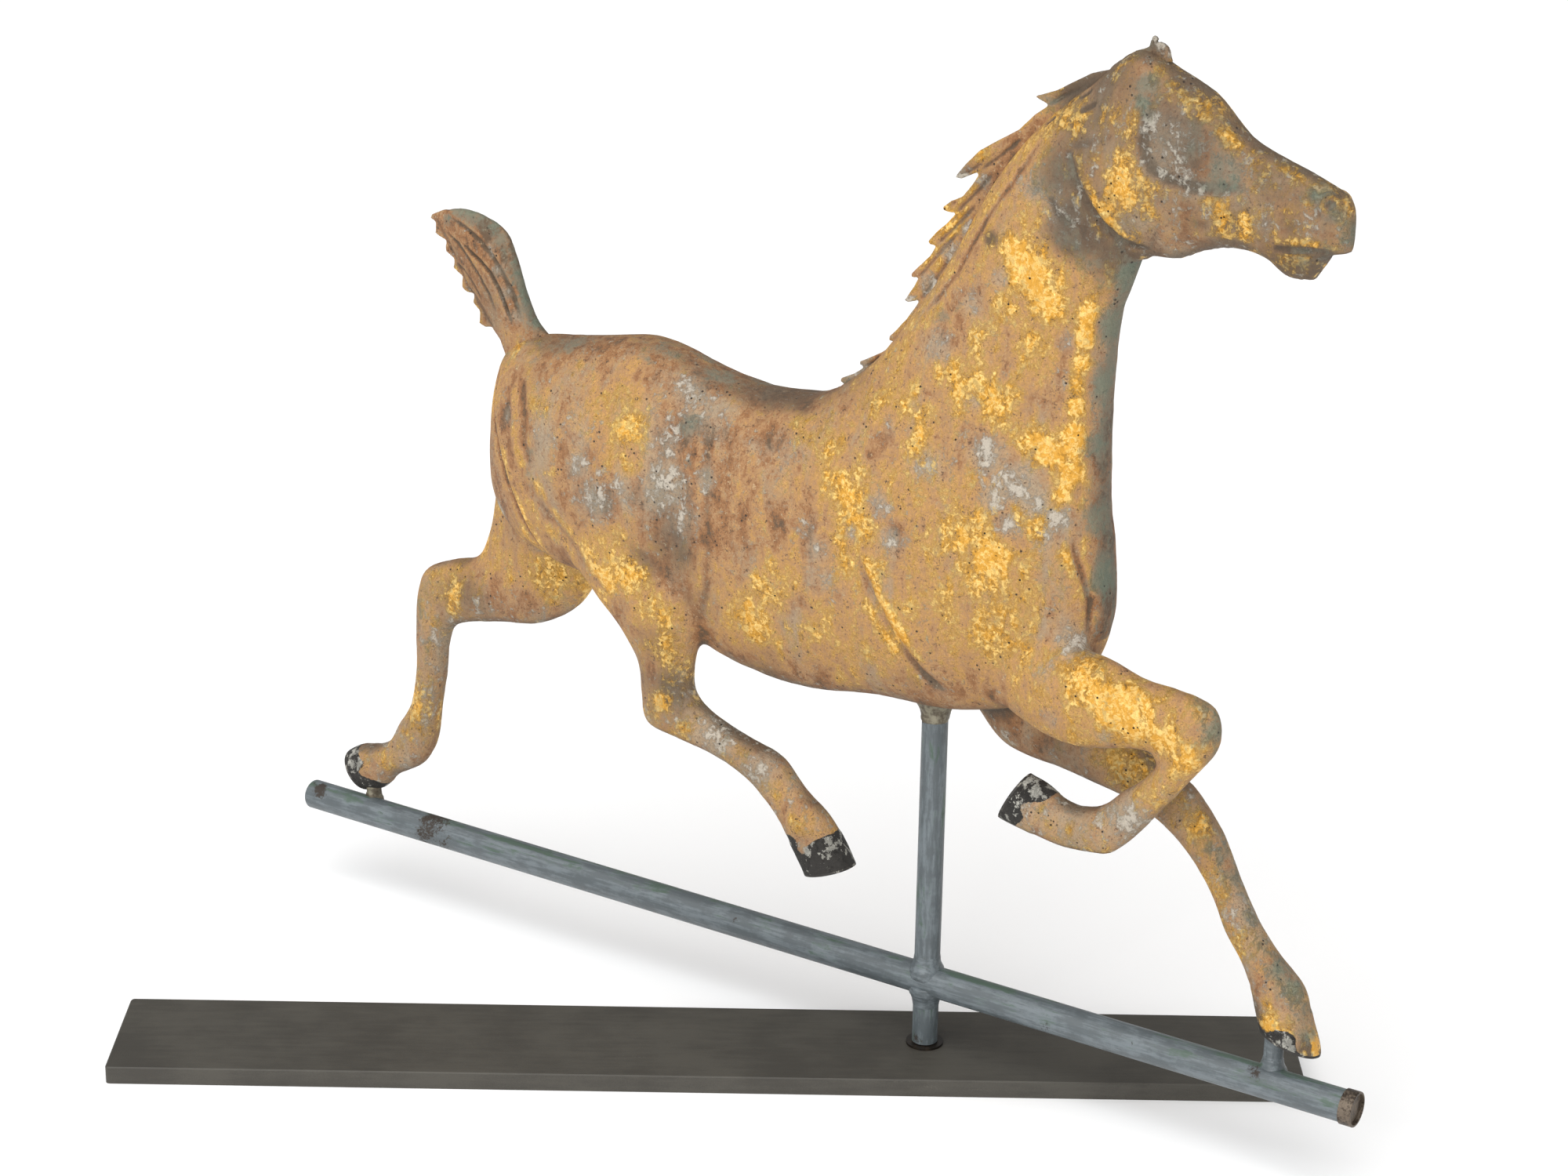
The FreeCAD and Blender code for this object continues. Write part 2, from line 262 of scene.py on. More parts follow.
def dented(piece, name, strength):
    """Lets a texture raise and lower the sheet, in millimetres."""
    with_modifier(piece, "DISPLACE", texture=bpy.data.textures[name], texture_coords="LOCAL",
                  strength=strength, mid_level=0.5)


# Each row holds the sole's centre, the way the leg points there, and how far the paint comes up.
HOOVES = {
    "fore_right": ((79.5, -30, 233.5), (-0.89, 0, 0.456), 17),
    "fore_left": ((271, 8, 92.5), (-0.25, -0.05, -0.967), 6),
    "hind_right": ((-62, -30, 141.5), (0.34, 0, -0.94), 24),
    "hind_left": ((-512.7, 10, 89.5), (-0.835, 0, -0.55), 17),
}
PAST_SOLE = 7
LEGS = {"fore_right": FORE_RIGHT, "fore_left": FORE_LEFT, "hind_right": HIND_RIGHT, "hind_left": HIND_LEFT}
forms = [formed(BODY), formed(HEAD)]
forms += [formed(run_on(sections, HOOVES[leg][1], PAST_SOLE)) for leg, sections in LEGS.items()]
horse = joined(*forms)
skinned(horse, HORSE_VOXEL, 8)

# Small dents from a century of weather, and the slight unevenness of hand-planished sheet.
for name, size, strength in (("dents", 32.0, 1.5), ("planishing", 9.0, 0.45), ("pitting", 2.6, 0.16)):
    dents = bpy.data.textures.new(name, "CLOUDS")
    dents.noise_scale = size
    dents.noise_depth = 2
    dented(horse, name, strength)


def points_of(piece):
    place = np.empty(len(piece.data.vertices) * 3)
    piece.data.vertices.foreach_get("co", place)
    normal = np.empty(len(place))
    piece.data.vertex_normals.foreach_get("vector", normal)
    return place.reshape(-1, 3), normal.reshape(-1, 3)


def put_points(piece, place):
    piece.data.vertices.foreach_set("co", place.reshape(-1))
    piece.data.update()


def neighbours(piece):
    """The two ends of every edge, and how many edges meet at each point."""
    edges = np.empty(len(piece.data.edges) * 2, int)
    piece.data.edges.foreach_get("vertices", edges)
    a, b = edges.reshape(-1, 2).T
    count = len(piece.data.vertices)
    return a, b, np.bincount(a, minlength=count) + np.bincount(b, minlength=count)


def relaxed(place, joins, share=1.0):
    """Each point moved a share of the way to the middle of its neighbours."""
    a, b, count = joins
    size = len(place)
    total = [np.bincount(a, place[b, k], size) + np.bincount(b, place[a, k], size) for k in range(3)]
    return place + (np.stack(total, 1) / count[:, None] - place) * share


def along_line(place, normal, line):
    """For each point: distance to a line, share of the line's length there, and which side it lies."""
    line = np.array(line, float)
    lengths = np.linalg.norm(np.diff(line, axis=0), axis=1)
    starts = np.concatenate([[0], np.cumsum(lengths)])
    gap = np.full(len(place), 1e9)
    share = np.zeros(len(place))
    side = np.zeros(len(place))
    for k, length in enumerate(lengths):
        step = (line[k + 1] - line[k]) / length
        away = place - line[k]
        t = np.clip(away @ step, 0, length)
        away = away - t[:, None] * step
        d = np.linalg.norm(away, axis=1)
        near = d < gap
        gap[near] = d[near]
        share[near] = (starts[k] + t[near]) / starts[-1]
        side[near] = np.sign((np.cross(step, away) * normal).sum(1))[near]
    return gap, share, side


def stroke(place, normal, line, groove=0.0, reach=3.0, left=0.0, right=0.0, spread=12.0):
    """One chasing-tool stroke: a groove along a line, with the sheet raised on either side of it."""
    gap, share, side = along_line(place, normal, line)
    fade = np.minimum(1, 6 * np.minimum(share, 1 - share)) ** 0.7
    cut = -groove * np.exp(-((gap / reach) ** 2))
    crest = np.exp(-gap / spread) * (1 - np.exp(-((gap / reach) ** 2)))
    return fade * (cut + crest * np.where(side > 0, left, right))


def mirrored(line):
    return [(x, -y, z) for x, y, z in reversed(line)]


def other_hand(how):
    """A stroke's settings for the far face, where its left and right change places."""
    return dict(how, left=how.get("right", 0), right=how.get("left", 0))


# Where each leg and the head grow out of the body, the sheet runs on in one smooth curve.
ROOTS = [((62, -36, 335), 40), ((92, -36, 300), 26), ((105, -30, 352), 20), ((40, 30, 285), 30),
         ((10, 34, 290), 26), ((-270, -42, 320), 34), ((-200, -44, 300), 26), ((-236, -40, 296), 20),
         ((-300, 36, 300), 34), ((-360, 30, 320), 30), ((-350, 30, 370), 24)]
for side in (-1, 1):
    ROOTS += [((119, 20 * side, 657), 13), ((112, 19 * side, 676), 13), ((126, 20 * side, 640), 11),
              ((106, 16 * side, 692), 12)]
MELT_ROUNDS = 70
place, normal = points_of(horse)
joins = neighbours(horse)
melt = np.zeros(len(place))
for centre, radius in ROOTS:
    melt = np.maximum(melt, np.exp(-((place - np.array(centre)) ** 2).sum(1) / radius**2))
for _ in range(MELT_ROUNDS):
    place = relaxed(place, joins, np.clip(melt * 1.4, 0, 1)[:, None])
put_points(horse, place)

# The chased lines of one side, from the tail to the nose. Raised edges are to the left or the
# right of the line's own direction.
THIGH_CREASE = [(-356, -14, 452), (-352, -23, 416), (-338, -32, 380), (-327, -32, 355), (-314, -26, 328),
                (-300, -22, 302)]
STROKES = [
    (THIGH_CREASE, dict(groove=2.2, reach=3.5, left=3.6, right=0.5, spread=16)),
    ([(-320, -38, 392), (-314, -39, 375), (-294, -41, 357), (-274, -42, 341), (-256, -45, 320),
      (-231, -48, 306)], dict(groove=1.5, reach=7, left=1.4, spread=14)),
    ([(-322, -30, 450), (-315, -38, 425), (-314, -40, 405), (-307, -41, 387)], dict(groove=1.6, reach=5)),
    ([(-329, -29, 444), (-325, -35, 422), (-322, -38, 400), (-316, -40, 385)], dict(groove=-1.3, reach=4)),
    ([(-168, -29, 455), (-159, -40, 427), (-156, -45, 395), (-154, -46, 362), (-157, -44, 332),
      (-166, -37, 304)], dict(groove=0.4, reach=5, right=1.5, spread=14)),
    ([(-38, -45, 384), (-34, -45, 374), (-26, -45, 358), (-13, -43, 337), (-1, -40, 321), (10, -36, 307),
      (25, -29, 294)], dict(groove=1.2, reach=4.5, left=4.2, right=1.0, spread=15)),
    ([(112, -18, 578), (108, -19, 548), (106, -21, 519), (106, -21, 491), (108, -21, 462), (102, -25, 440)],
     dict(groove=-2.2, reach=6)),
    ([(109, -24, 420), (112, -23, 408), (117, -21, 393), (121, -17, 375), (121, -17, 352)],
     dict(groove=1.6, reach=3, right=1.8, spread=12)),
    ([(92, -19, 668), (95, -19, 660), (99, -21, 651), (108, -21, 637), (119, -19, 625), (132, -15, 616),
      (148, -12, 611)], dict(groove=2.0, reach=2.6, left=4.2, spread=14)),
    ([(143, -20, 702), (142, -21, 695), (141, -23, 682), (143, -23, 671), (149, -23, 662), (162, -22, 657),
      (180, -20, 654), (196, -18, 655), (212, -16, 659)],
     dict(groove=0.8, reach=2, left=-3.0, right=1.6, spread=11)),
    ([(152, -13, 716), (160, -14, 710), (176, -13, 702), (192, -11, 691), (206, -11, 681)],
     dict(groove=-1.8, reach=7)),
    ([(229, -13, 626), (241, -13, 627), (250, -13, 627.5), (261, -12, 628), (273, -7, 627)],
     dict(groove=2.4, reach=2.0, left=1.0, right=0.8, spread=5)),
    ([(82, -22, 638), (84, -22, 634), (90, -23, 626), (98, -22, 621)], dict(groove=2.0, reach=1.6)),
    ([(92, -7, 699), (95, -7, 701), (100, -7, 705)], dict(groove=2.2, reach=1.5)),
    ([(95, -13, 691), (100, -13, 694), (107, -14, 698)], dict(groove=2.2, reach=1.5)),
    ([(69, -7, 679), (72, -7, 682), (76, -8, 685)], dict(groove=2.0, reach=1.4)),
    ([(73, -12, 675), (61, -16, 656), (52, -17, 640), (37, -18, 618), (26, -18, 598), (17, -19, 579),
      (2, -19, 558), (-14, -16, 542)], dict(groove=0.9, reach=2.4, right=0.9, spread=7)),
    ([(214, -12, 648), (228, -12, 650), (243, -11, 652), (256, -10, 655)], dict(groove=-0.9, reach=5)),
    ([(176, -15, 623), (190, -15, 628), (206, -14, 629), (220, -13, 627)], dict(groove=-0.9, reach=5)),
]
LEFT_THIGH = [(-196, 44, 436), (-222, 47, 396), (-250, 47, 356), (-284, 44, 322), (-318, 36, 296)]
BULGES = [
    # Place, radius and height: cheek, shoulder, forearm root, barrel, haunch, hollow of the eye,
    # chin and fetlock.
    ((140, -21, 640), 20, 2.2), ((62, -38, 425), 46, 2.4), ((20, -42, 345), 26, 1.2),
    ((-90, -44, 360), 60, 1.2), ((-250, -46, 400), 48, 1.5), ((178, -18, 676), 14, -1.8),
    ((257, -4, 609), 6, 1.6), ((151, -30, 212), 10, 2.4),
]

place, normal = points_of(horse)
moved = np.zeros(len(place))
for line, how in STROKES:
    moved += stroke(place, normal, line, **how)
    if line is not THIGH_CREASE:
        moved += stroke(place, normal, mirrored(line), **other_hand(how))
moved += stroke(place, normal, LEFT_THIGH, groove=1.6, reach=4, right=2.6, spread=16)
for centre, radius, height in BULGES:
    for side in (1, -1):
        gap = np.linalg.norm(place - np.array([centre[0], centre[1] * side, centre[2]]), axis=1)
        moved += height * np.exp(-((gap / radius) ** 2))

# Nostril rings and the soldered seam along the middle.
for side in (-1, 1):
    gap = np.linalg.norm(place - np.array([264, 9 * side, 657]), axis=1)
    moved += 1.9 * np.exp(-(((gap - 4.6) / 1.7) ** 2)) - 1.6 * np.exp(-((gap / 2.6) ** 2))
seam = np.exp(-((place[:, 1] / 1.5) ** 2)) * (place[:, 2] > 262) * (np.abs(normal[:, 1]) < 0.35)
moved += 0.35 * seam * (1 + np.sin(place[:, 2] * 0.9 + np.sin(place[:, 0] * 0.7) * 2))

# Hooves: each has a slightly proud wall of horn below its coronet, and its own band of paint.
CORONET_HEIGHT, HORN_PROUD = 26, 0.7
HOOF_SPAN, HOOF_HALF_WIDTH = 44, 17
hoof = np.zeros(len(place))
for centre, way, height in HOOVES.values():
    way = np.array(way) / np.linalg.norm(way)
    away = place - np.array(centre)
    up = -(away @ way)
    near = (np.linalg.norm(away, axis=1) < HOOF_SPAN) & (np.abs(away[:, 1]) < HOOF_HALF_WIDTH)
    moved += HORN_PROUD * np.clip((CORONET_HEIGHT - up) / 3, 0, 1) * near
    slant = height + 4 * np.sin(place[:, 0] * 0.19) + 3 * np.sin(place[:, 2] * 0.31 + 1)
    hoof = np.maximum(hoof, np.clip((slant - up) / 6 + 0.5, 0, 1) * near)
place = place + normal * moved[:, None]
# The lower lip stands back from the upper one and drops to a square chin.
MOUTH_Z, LIP_X, LIP_KEPT = 627.5, 246, 0.62
lip = np.clip((MOUTH_Z - place[:, 2]) / 2.5, 0, 1) * np.clip((place[:, 0] - 225) / 20, 0, 1)
lip *= place[:, 2] > 590
place[:, 0] -= lip * (1 - LIP_KEPT) * np.maximum(place[:, 0] - LIP_X, 0)
put_points(horse, place)
with_modifier(horse, "SMOOTH", factor=0.4, iterations=2)

# Where rain and polish have worked on the sheet: place and radius in millimetres, and how much.
GILT = [
    (73, -25, 585, 22, 0.9), (64, -25, 600, 18, 0.7), (84, -25, 572, 16, 0.8), (60, -27, 566, 20, 0.5),
    (129, -22, 653, 20, 1.1), (122, -21, 638, 16, 0.8), (150, -18, 630, 18, 0.35), (196, -15, 640, 12, 0.4),
    (214, -14, 640, 12, 0.55), (232, -12, 641, 9, 0.4), (36, -32, 504, 16, 0.8), (20, -30, 514, 14, 0.6),
    (55, -33, 496, 14, 0.5), (-5, -34, 488, 20, 0.45), (95, -27, 473, 15, 1.0), (103, -25, 462, 12, 1.0),
    (86, -30, 478, 12, 0.6), (110, -19, 566, 8, 0.7), (109, -19, 550, 9, 0.9), (107, -20, 535, 9, 0.9),
    (106, -21, 520, 9, 0.9), (106, -21, 505, 9, 0.9), (105, -22, 488, 10, 0.9), (100, -25, 447, 10, 0.8),
    (40, -41, 415, 18, 0.9), (63, -40, 399, 20, 0.95), (84, -34, 426, 13, 0.7), (78, -38, 390, 18, 0.6),
    (52, -41, 385, 20, 0.6), (20, -44, 400, 18, 0.4), (-52, -42, 426, 20, 0.65), (-41, -44, 404, 16, 0.6),
    (-60, -42, 450, 16, 0.4), (-22, -44, 348, 13, 0.8), (-10, -43, 330, 12, 0.7), (-35, -43, 322, 24, 0.5),
    (-70, -42, 318, 26, 0.5), (-122, -42, 318, 24, 0.6), (-105, -44, 340, 22, 0.5),
    (163, -45, 318, 20, 1.0), (140, -44, 322, 16, 0.7), (190, -43, 306, 15, 0.7), (206, -42, 296, 12, 0.5),
    (-218, -43, 432, 16, 0.75), (-222, -45, 410, 14, 0.5), (-218, -48, 328, 18, 0.7),
    (-238, -46, 350, 14, 0.5), (-200, -46, 308, 16, 0.6), (-300, -38, 372, 14, 0.3),
    (-316, 10, 292, 24, 0.7), (-340, 8, 300, 22, 0.5), (-372, 14, 300, 20, 0.45), (175, -12, 700, 12, 0.55),
    (196, -10, 686, 9, 0.5), (150, -12, 722, 10, 0.35), (96, -18, 690, 10, 0.35), (100, -26, 660, 10, 0.25),
    (-40, -30, 470, 22, 0.25), (10, -42, 440, 22, 0.35), (-280, -44, 440, 20, 0.2),
    (-110, -44, 420, 26, 0.25), (60, -40, 350, 26, 0.45), (100, -40, 330, 22, 0.5),
    (150, -30, 222, 12, 0.5), (112, -40, 226, 10, 0.5), (182, -42, 262, 12, 0.4), (262, -4, 106, 11, 1.1),
    (270, 0, 102, 9, 0.8), (258, 0, 122, 8, 0.5), (236, 4, 150, 12, 0.3), (215, 4, 190, 12, 0.35),
    (196, 6, 226, 9, 0.5), (132, 8, 262, 16, 0.6), (150, 10, 252, 12, 0.5), (-196, -42, 238, 10, 0.6),
    (-170, -42, 224, 12, 0.4), (-100, -42, 192, 12, 0.5), (-84, -42, 176, 10, 0.5),
    (-195, -46, 280, 14, 0.35), (-440, 6, 236, 14, 0.35), (-418, 8, 250, 14, 0.45), (-452, 6, 150, 12, 0.2),
    (-478, 4, 112, 10, 0.2), (-372, 8, 300, 30, 0.5), (-340, 4, 312, 28, 0.5), (-362, 4, 330, 24, 0.4),
    (-46, -42, 380, 22, 0.45), (0, -42, 470, 22, 0.4), (30, -44, 440, 24, 0.35), (130, -40, 330, 24, 0.5),
    (30, -44, 360, 26, 0.45), (-90, -42, 360, 26, 0.35), (-230, -44, 440, 26, 0.4),
    (-280, -42, 400, 26, 0.3), (-300, -40, 350, 22, 0.35), (-330, 6, 300, 26, 0.55),
    (-226, -46, 336, 24, 0.55), (-150, -38, 470, 20, 0.3), (140, -21, 660, 20, 0.35),
    (130, -20, 690, 14, 0.3), (64, -24, 620, 16, 0.35), (80, -24, 540, 20, 0.4), (40, -30, 540, 20, 0.35),
]
CHALK = [
    (-247, -47, 380, 20, 0.6), (-189, -45, 400, 22, 0.7), (-184, -26, 463, 16, 0.6),
    (-176, -36, 446, 20, 0.5), (-195, -42, 430, 26, 0.45), (-260, -44, 420, 20, 0.3),
    (-230, -46, 390, 16, 0.5), (-200, -42, 440, 18, 0.4), (52, -35, 466, 15, 0.8), (71, -34, 450, 14, 0.9),
    (71, -36, 424, 11, 0.8), (92, -31, 420, 8, 0.7), (-10, -45, 399, 10, 0.6), (-43, -45, 398, 7, 0.6),
    (9, -38, 452, 14, 0.6), (116, -26, 352, 16, 0.6), (104, -40, 330, 12, 0.4), (-101, -37, 440, 14, 0.3),
    (-177, -46, 380, 18, 0.5), (-290, -44, 414, 14, 0.3), (-352, -17, 341, 10, 0.6),
    (166, -21, 690, 14, 0.25), (160, -22, 672, 14, 0.35), (178, -20, 656, 8, 0.5), (93, -22, 626, 10, 0.4),
    (30, -22, 560, 10, 0.45), (50, -25, 580, 8, 0.4), (100, -22, 520, 8, 0.5), (96, -22, 545, 8, 0.4),
    (-330, -30, 420, 8, 0.6), (-60, -43, 360, 14, 0.4), (-78, -42, 395, 12, 0.3), (226, -10, 640, 8, 0.4),
    (-80, -32, 150, 12, 0.7), (-432, 0, 214, 8, 0.4), (-434, 0, 192, 8, 0.45), (-438, 0, 170, 8, 0.45),
    (-442, 0, 148, 8, 0.4), (-150, -40, 222, 14, 0.4), (238, 2, 190, 18, 0.4), (90, -42, 240, 10, 0.5),
    (230, 6, 140, 14, 0.4), (-118, -40, 205, 12, 0.4), (170, -42, 240, 12, 0.5), (20, -38, 300, 16, 0.3),
    (60, -36, 440, 14, 0.7), (84, -32, 440, 12, 0.7), (100, -28, 430, 10, 0.6), (-100, -42, 448, 8, 0.6),
    (-126, -42, 440, 7, 0.6), (-22, -44, 420, 9, 0.6), (-66, -44, 380, 10, 0.5), (-20, -42, 470, 10, 0.5),
    (10, -30, 530, 12, 0.5), (40, -32, 500, 8, 0.5), (66, -22, 640, 10, 0.5), (150, -18, 690, 10, 0.4),
    (-160, -42, 410, 10, 0.6), (-262, -46, 400, 12, 0.6), (110, -40, 300, 10, 0.4), (150, -42, 300, 8, 0.5),
]
GREEN = [
    (-177, -37, 442, 11, 0.9), (-172, -42, 418, 5, 0.8), (-170, -10, 474, 16, 0.7),
    (-215, -8, 482, 20, 0.45), (-292, -12, 474, 22, 0.5), (-352, -8, 452, 12, 0.6),
    (222, -32, 318, 18, 1.0), (226, -30, 296, 16, 0.9), (190, -15, 672, 13, 0.5), (175, -18, 682, 10, 0.2),
    (204, -14, 664, 12, 0.8), (143, -16, 716, 9, 0.8), (141, -19, 702, 9, 0.8), (140, -12, 732, 8, 0.6),
    (256, -9, 662, 7, 1.0), (268, -8, 651, 7, 0.9), (275, -2, 640, 14, 0.8), (250, -11, 622, 12, 0.5),
    (-307, -41, 400, 6, 0.7), (-309, -41, 385, 5, 0.7), (60, -22, 650, 14, 0.4), (78, -22, 645, 16, 0.6),
    (112, -14, 600, 18, 0.6), (-460, 4, 232, 16, 0.6), (172, -19, 686, 24, 0.4), (196, -16, 668, 16, 0.6),
    (100, -17, 618, 20, 0.5), (84, -20, 655, 18, 0.5), (121, -10, 590, 18, 0.6), (118, -8, 560, 12, 0.7),
    (118, -10, 520, 11, 0.7), (117, -12, 480, 10, 0.6), (118, -12, 430, 12, 0.6), (122, -10, 390, 14, 0.7),
    (255, 2, 160, 12, 0.8), (244, 4, 176, 12, 0.8), (230, 6, 200, 12, 0.8), (284, 2, 118, 14, 0.6),
    (264, 2, 146, 11, 0.9), (274, 2, 134, 10, 0.9), (286, 2, 104, 9, 0.7), (218, 4, 216, 12, 0.7),
    (30, -18, 545, 12, 0.4), (10, -26, 548, 7, 0.7), (20, -20, 556, 6, 0.6),
]
SOOT = [
    (100, -16, 622, 24, 0.6), (84, -20, 652, 22, 0.5), (124, -10, 596, 22, 0.5), (172, -18, 690, 26, 0.25),
    (-186, -46, 358, 30, 0.6), (-205, -46, 340, 22, 0.5), (-165, -42, 320, 20, 0.4), (41, -22, 604, 7, 1.0),
    (40, -20, 612, 26, 0.2), (104, -14, 640, 12, 0.3), (122, -10, 596, 20, 0.5), (-330, 10, 330, 24, 0.4),
    (-345, 0, 340, 22, 0.5), (-120, -10, 474, 40, 0.4), (-60, -14, 484, 34, 0.35), (70, -10, 690, 24, 0.4),
    (110, -8, 716, 20, 0.3), (250, -8, 615, 12, 0.6), (236, -10, 610, 12, 0.4), (0, -36, 296, 26, 0.3),
    (-120, -30, 285, 30, 0.3), (-200, -40, 288, 20, 0.5), (-186, -36, 250, 20, 0.35),
    (-310, -30, 460, 30, 0.3), (90, -16, 250, 12, 0.3), (40, 14, 280, 22, 0.4), (86, 14, 268, 18, 0.4),
    (206, 10, 232, 12, 0.3), (-400, 10, 262, 22, 0.3), (-336, 14, 290, 14, 0.4), (252, 0, 102, 9, 1.6),
    (290, 2, 94, 8, 1.4), (270, 0, 90, 7, 1.2), (248, 4, 112, 8, 1.0),
]


def painted(place, spots):
    """How much of a finish lies at each point, from a list of spots."""
    amount = np.zeros(len(place))
    for *centre, radius, much in spots:
        gap = ((place - np.array(centre)) ** 2).sum(1)
        amount = np.maximum(amount, much * np.exp(-gap / radius**2))
    return amount


def hollowness(piece):
    """How far each point lies in a hollow of the sheet, from its neighbours' places."""
    place, normal = points_of(piece)
    joins = neighbours(piece)
    soft = place
    for _ in range(10):
        soft = relaxed(soft, joins)
    return ((soft - place) * normal).sum(1)


# The far side wears the near side's spots, moved along so that the two don't match.
FAR_SHIFT = np.array([[22.0, 0, -11.0]])
FAR_SHARE = 0.9


def weathered(piece, base=0.0, hoof=None):
    """Stores the finishes at each point: gilding, chalk and verdigris; then soot with painted shade, hollows
    and paint.
    """
    place, normal = points_of(piece)
    other = np.where(place[:, 1:2] > 2, FAR_SHIFT, 0.0)
    flip = place * np.array([1.0, -1.0, 1.0])
    far_side = place[:, 1] > 0
    parts = []
    for spots in (GILT, CHALK, GREEN, SOOT):
        here = painted(place, spots)
        there = painted(flip - other, [s for s in spots if s[1] < 0])
        parts.append(np.where(far_side, np.maximum(here, FAR_SHARE * there), here))
    gilt, chalk, green, soot_and_shade = parts
    gilt = gilt - 0.55 * chalk
    hollow = np.clip(hollowness(piece) / 0.4, -1, 1)
    # Painted shade: the top and the underside get less gilding and more soot, and the hollows more soot, so
    # they come out darker.
    # The top, the breast, the low legs and the head are greener.
    top = np.clip((normal[:, 2] - 0.62) / 0.3, 0, 1)
    under = np.clip((-normal[:, 2] - 0.5) / 0.4, 0, 1)
    breast = np.clip((normal[:, 0] - 0.52) / 0.25, 0, 1) * (place[:, 2] > 345) * (place[:, 2] < 600)
    mid = np.clip(1.6 - np.abs(place[:, 1]) / 12, 0, 1)
    side = np.clip((place[:, 0] + 80) / 80, 0, 1) * np.clip((place[:, 2] - 300) / 30, 0, 1)
    low = np.clip((285 - place[:, 2]) / 30, 0, 1)
    head = np.clip((place[:, 2] - 590) / 20, 0, 1) * np.clip((place[:, 0] - 70) / 30, 0, 1)
    gilt = gilt + base + 0.06 + 0.12 * (side - low - head) - 0.25 * top - 0.2 * under - 0.6 * breast * mid
    chalk = chalk + 0.1 + 0.26 * low + 0.2 * head
    green = green + 0.62 * breast * mid + 0.12 * top + 0.15 * np.clip(hollow, 0, 1) + 0.1 * head + 0.2 * low
    soot_and_shade = soot_and_shade + 0.35 * top + 0.4 * under + 0.3 * np.clip(hollow, 0, 1) + 0.3 * low + 0.48 * head
    paint = np.zeros(len(place)) if hoof is None else hoof
    for name, values in (("finish", (gilt, chalk, green)), ("wear_and_shade", (soot_and_shade, hollow * 0.5 + 0.5, paint))):
        layer = piece.data.color_attributes.new(name, "FLOAT_COLOR", "POINT")
        rows = np.stack([*values, np.ones(len(place))], 1)
        layer.data.foreach_set("color", rows.reshape(-1))


weathered(horse, hoof=hoof)


# The sheet was stamped in halves, so the horse is cut along its seams into the real pieces.
def cut_loose(piece, where, facing, low, high):
    """Cuts right through the part of a piece that lies inside a box, and leaves the cut open."""
    opened(piece)
    bpy.ops.mesh.select_mode(type="FACE")
    bpy.ops.mesh.select_all(action="DESELECT")
    bpy.ops.object.mode_set(mode="OBJECT")
    centres = np.empty(len(piece.data.polygons) * 3)
    piece.data.polygons.foreach_get("center", centres)
    centres = centres.reshape(-1, 3)
    inside = ((centres > np.array(low)) & (centres < np.array(high))).all(1)
    piece.data.polygons.foreach_set("select", inside)
    bpy.ops.object.mode_set(mode="EDIT")
    bpy.ops.mesh.bisect(plane_co=where, plane_no=facing)
    bpy.ops.mesh.edge_split(type="EDGE")
    bpy.ops.object.mode_set(mode="OBJECT")


def copied(piece):
    copy = piece.copy()
    copy.data = piece.data.copy()
    bpy.context.collection.objects.link(copy)
    return copy


def half_of(piece, where, facing):
    """A copy of the piece on the side that facing points to, closed where it was cut."""
    half = copied(piece)
    opened(half)
    bpy.ops.mesh.bisect(plane_co=where, plane_no=facing, use_fill=True, clear_inner=True)
    bpy.ops.object.mode_set(mode="OBJECT")
    return half


# Each cut: a point on it, the way it faces, and the box that it stays in.
CUTS = [
    ((119, 0, 657), (0.965, 0, 0.263), (60, -60, 585), (190, 60, 760)),
    ((132, 0, 310), (1, 0, 0), (100, -70, 262), (170, 1.5, 366)),
    ((103, 0, 261), (0.9, 0, -0.43), (60, 1.5, 225), (150, 60, 305)),
    ((-205, 0, 272), (0, 0, -1), (-275, -70, 255), (-140, -1.5, 290)),
    ((-349, 0, 288), (-0.35, 0, -0.94), (-420, 1.5, 240), (-290, 60, 325)),
]
SOLE_THICK = 1.6
HOOF_REACH = Vector((34, 18, 34))
for centre, way, _ in HOOVES.values():
    centre = Vector(centre)
    for face in (centre, centre - Vector(way) * SOLE_THICK):
        CUTS.append((face, way, centre - HOOF_REACH, centre + HOOF_REACH))
for cut in CUTS:
    cut_loose(horse, *cut)
opened(horse)
bpy.ops.mesh.separate(type="LOOSE")
bpy.ops.object.mode_set(mode="OBJECT")
# The body is the one piece with more points than this. Past a sole lies only the run-on end.
BODY_POINTS = 60000
parts = {}
for piece in list(bpy.context.selected_objects):
    middle = Vector(points_of(piece)[0].mean(0))
    leg = ("fore" if middle.x > 0 else "hind") + ("_right" if middle.y < 0 else "_left")
    past = (middle - Vector(HOOVES[leg][0])) @ Vector(HOOVES[leg][1])
    if len(piece.data.vertices) > BODY_POINTS:
        parts["body"] = piece
    elif middle.z > 600:
        parts["head"] = piece
    elif past < -10:
        parts[leg] = piece
    elif past < 0:
        parts["sole_" + leg] = piece
    else:
        bpy.data.objects.remove(piece)
for piece in parts.values():
    opened(piece)
    bpy.ops.mesh.fill_holes(sides=0)
    bpy.ops.object.mode_set(mode="OBJECT")


# Worn gilding on sheet copper. Gold leaf was laid on the copper, then a century of rain left a
# tan and brown patina, chalky grey and green salts in the hollows, and polished gold where it is
# proud. The leaf is a metal; the salts are matt.
def hexed(code):
    """An sRGB hex colour as linear red, green, blue and alpha."""
    channels = [int(code[k:k + 2], 16) / 255 for k in (1, 3, 5)]
    return tuple(c / 12.92 if c <= 0.04045 else ((c + 0.055) / 1.055) ** 2.4 for c in channels) + (1.0,)


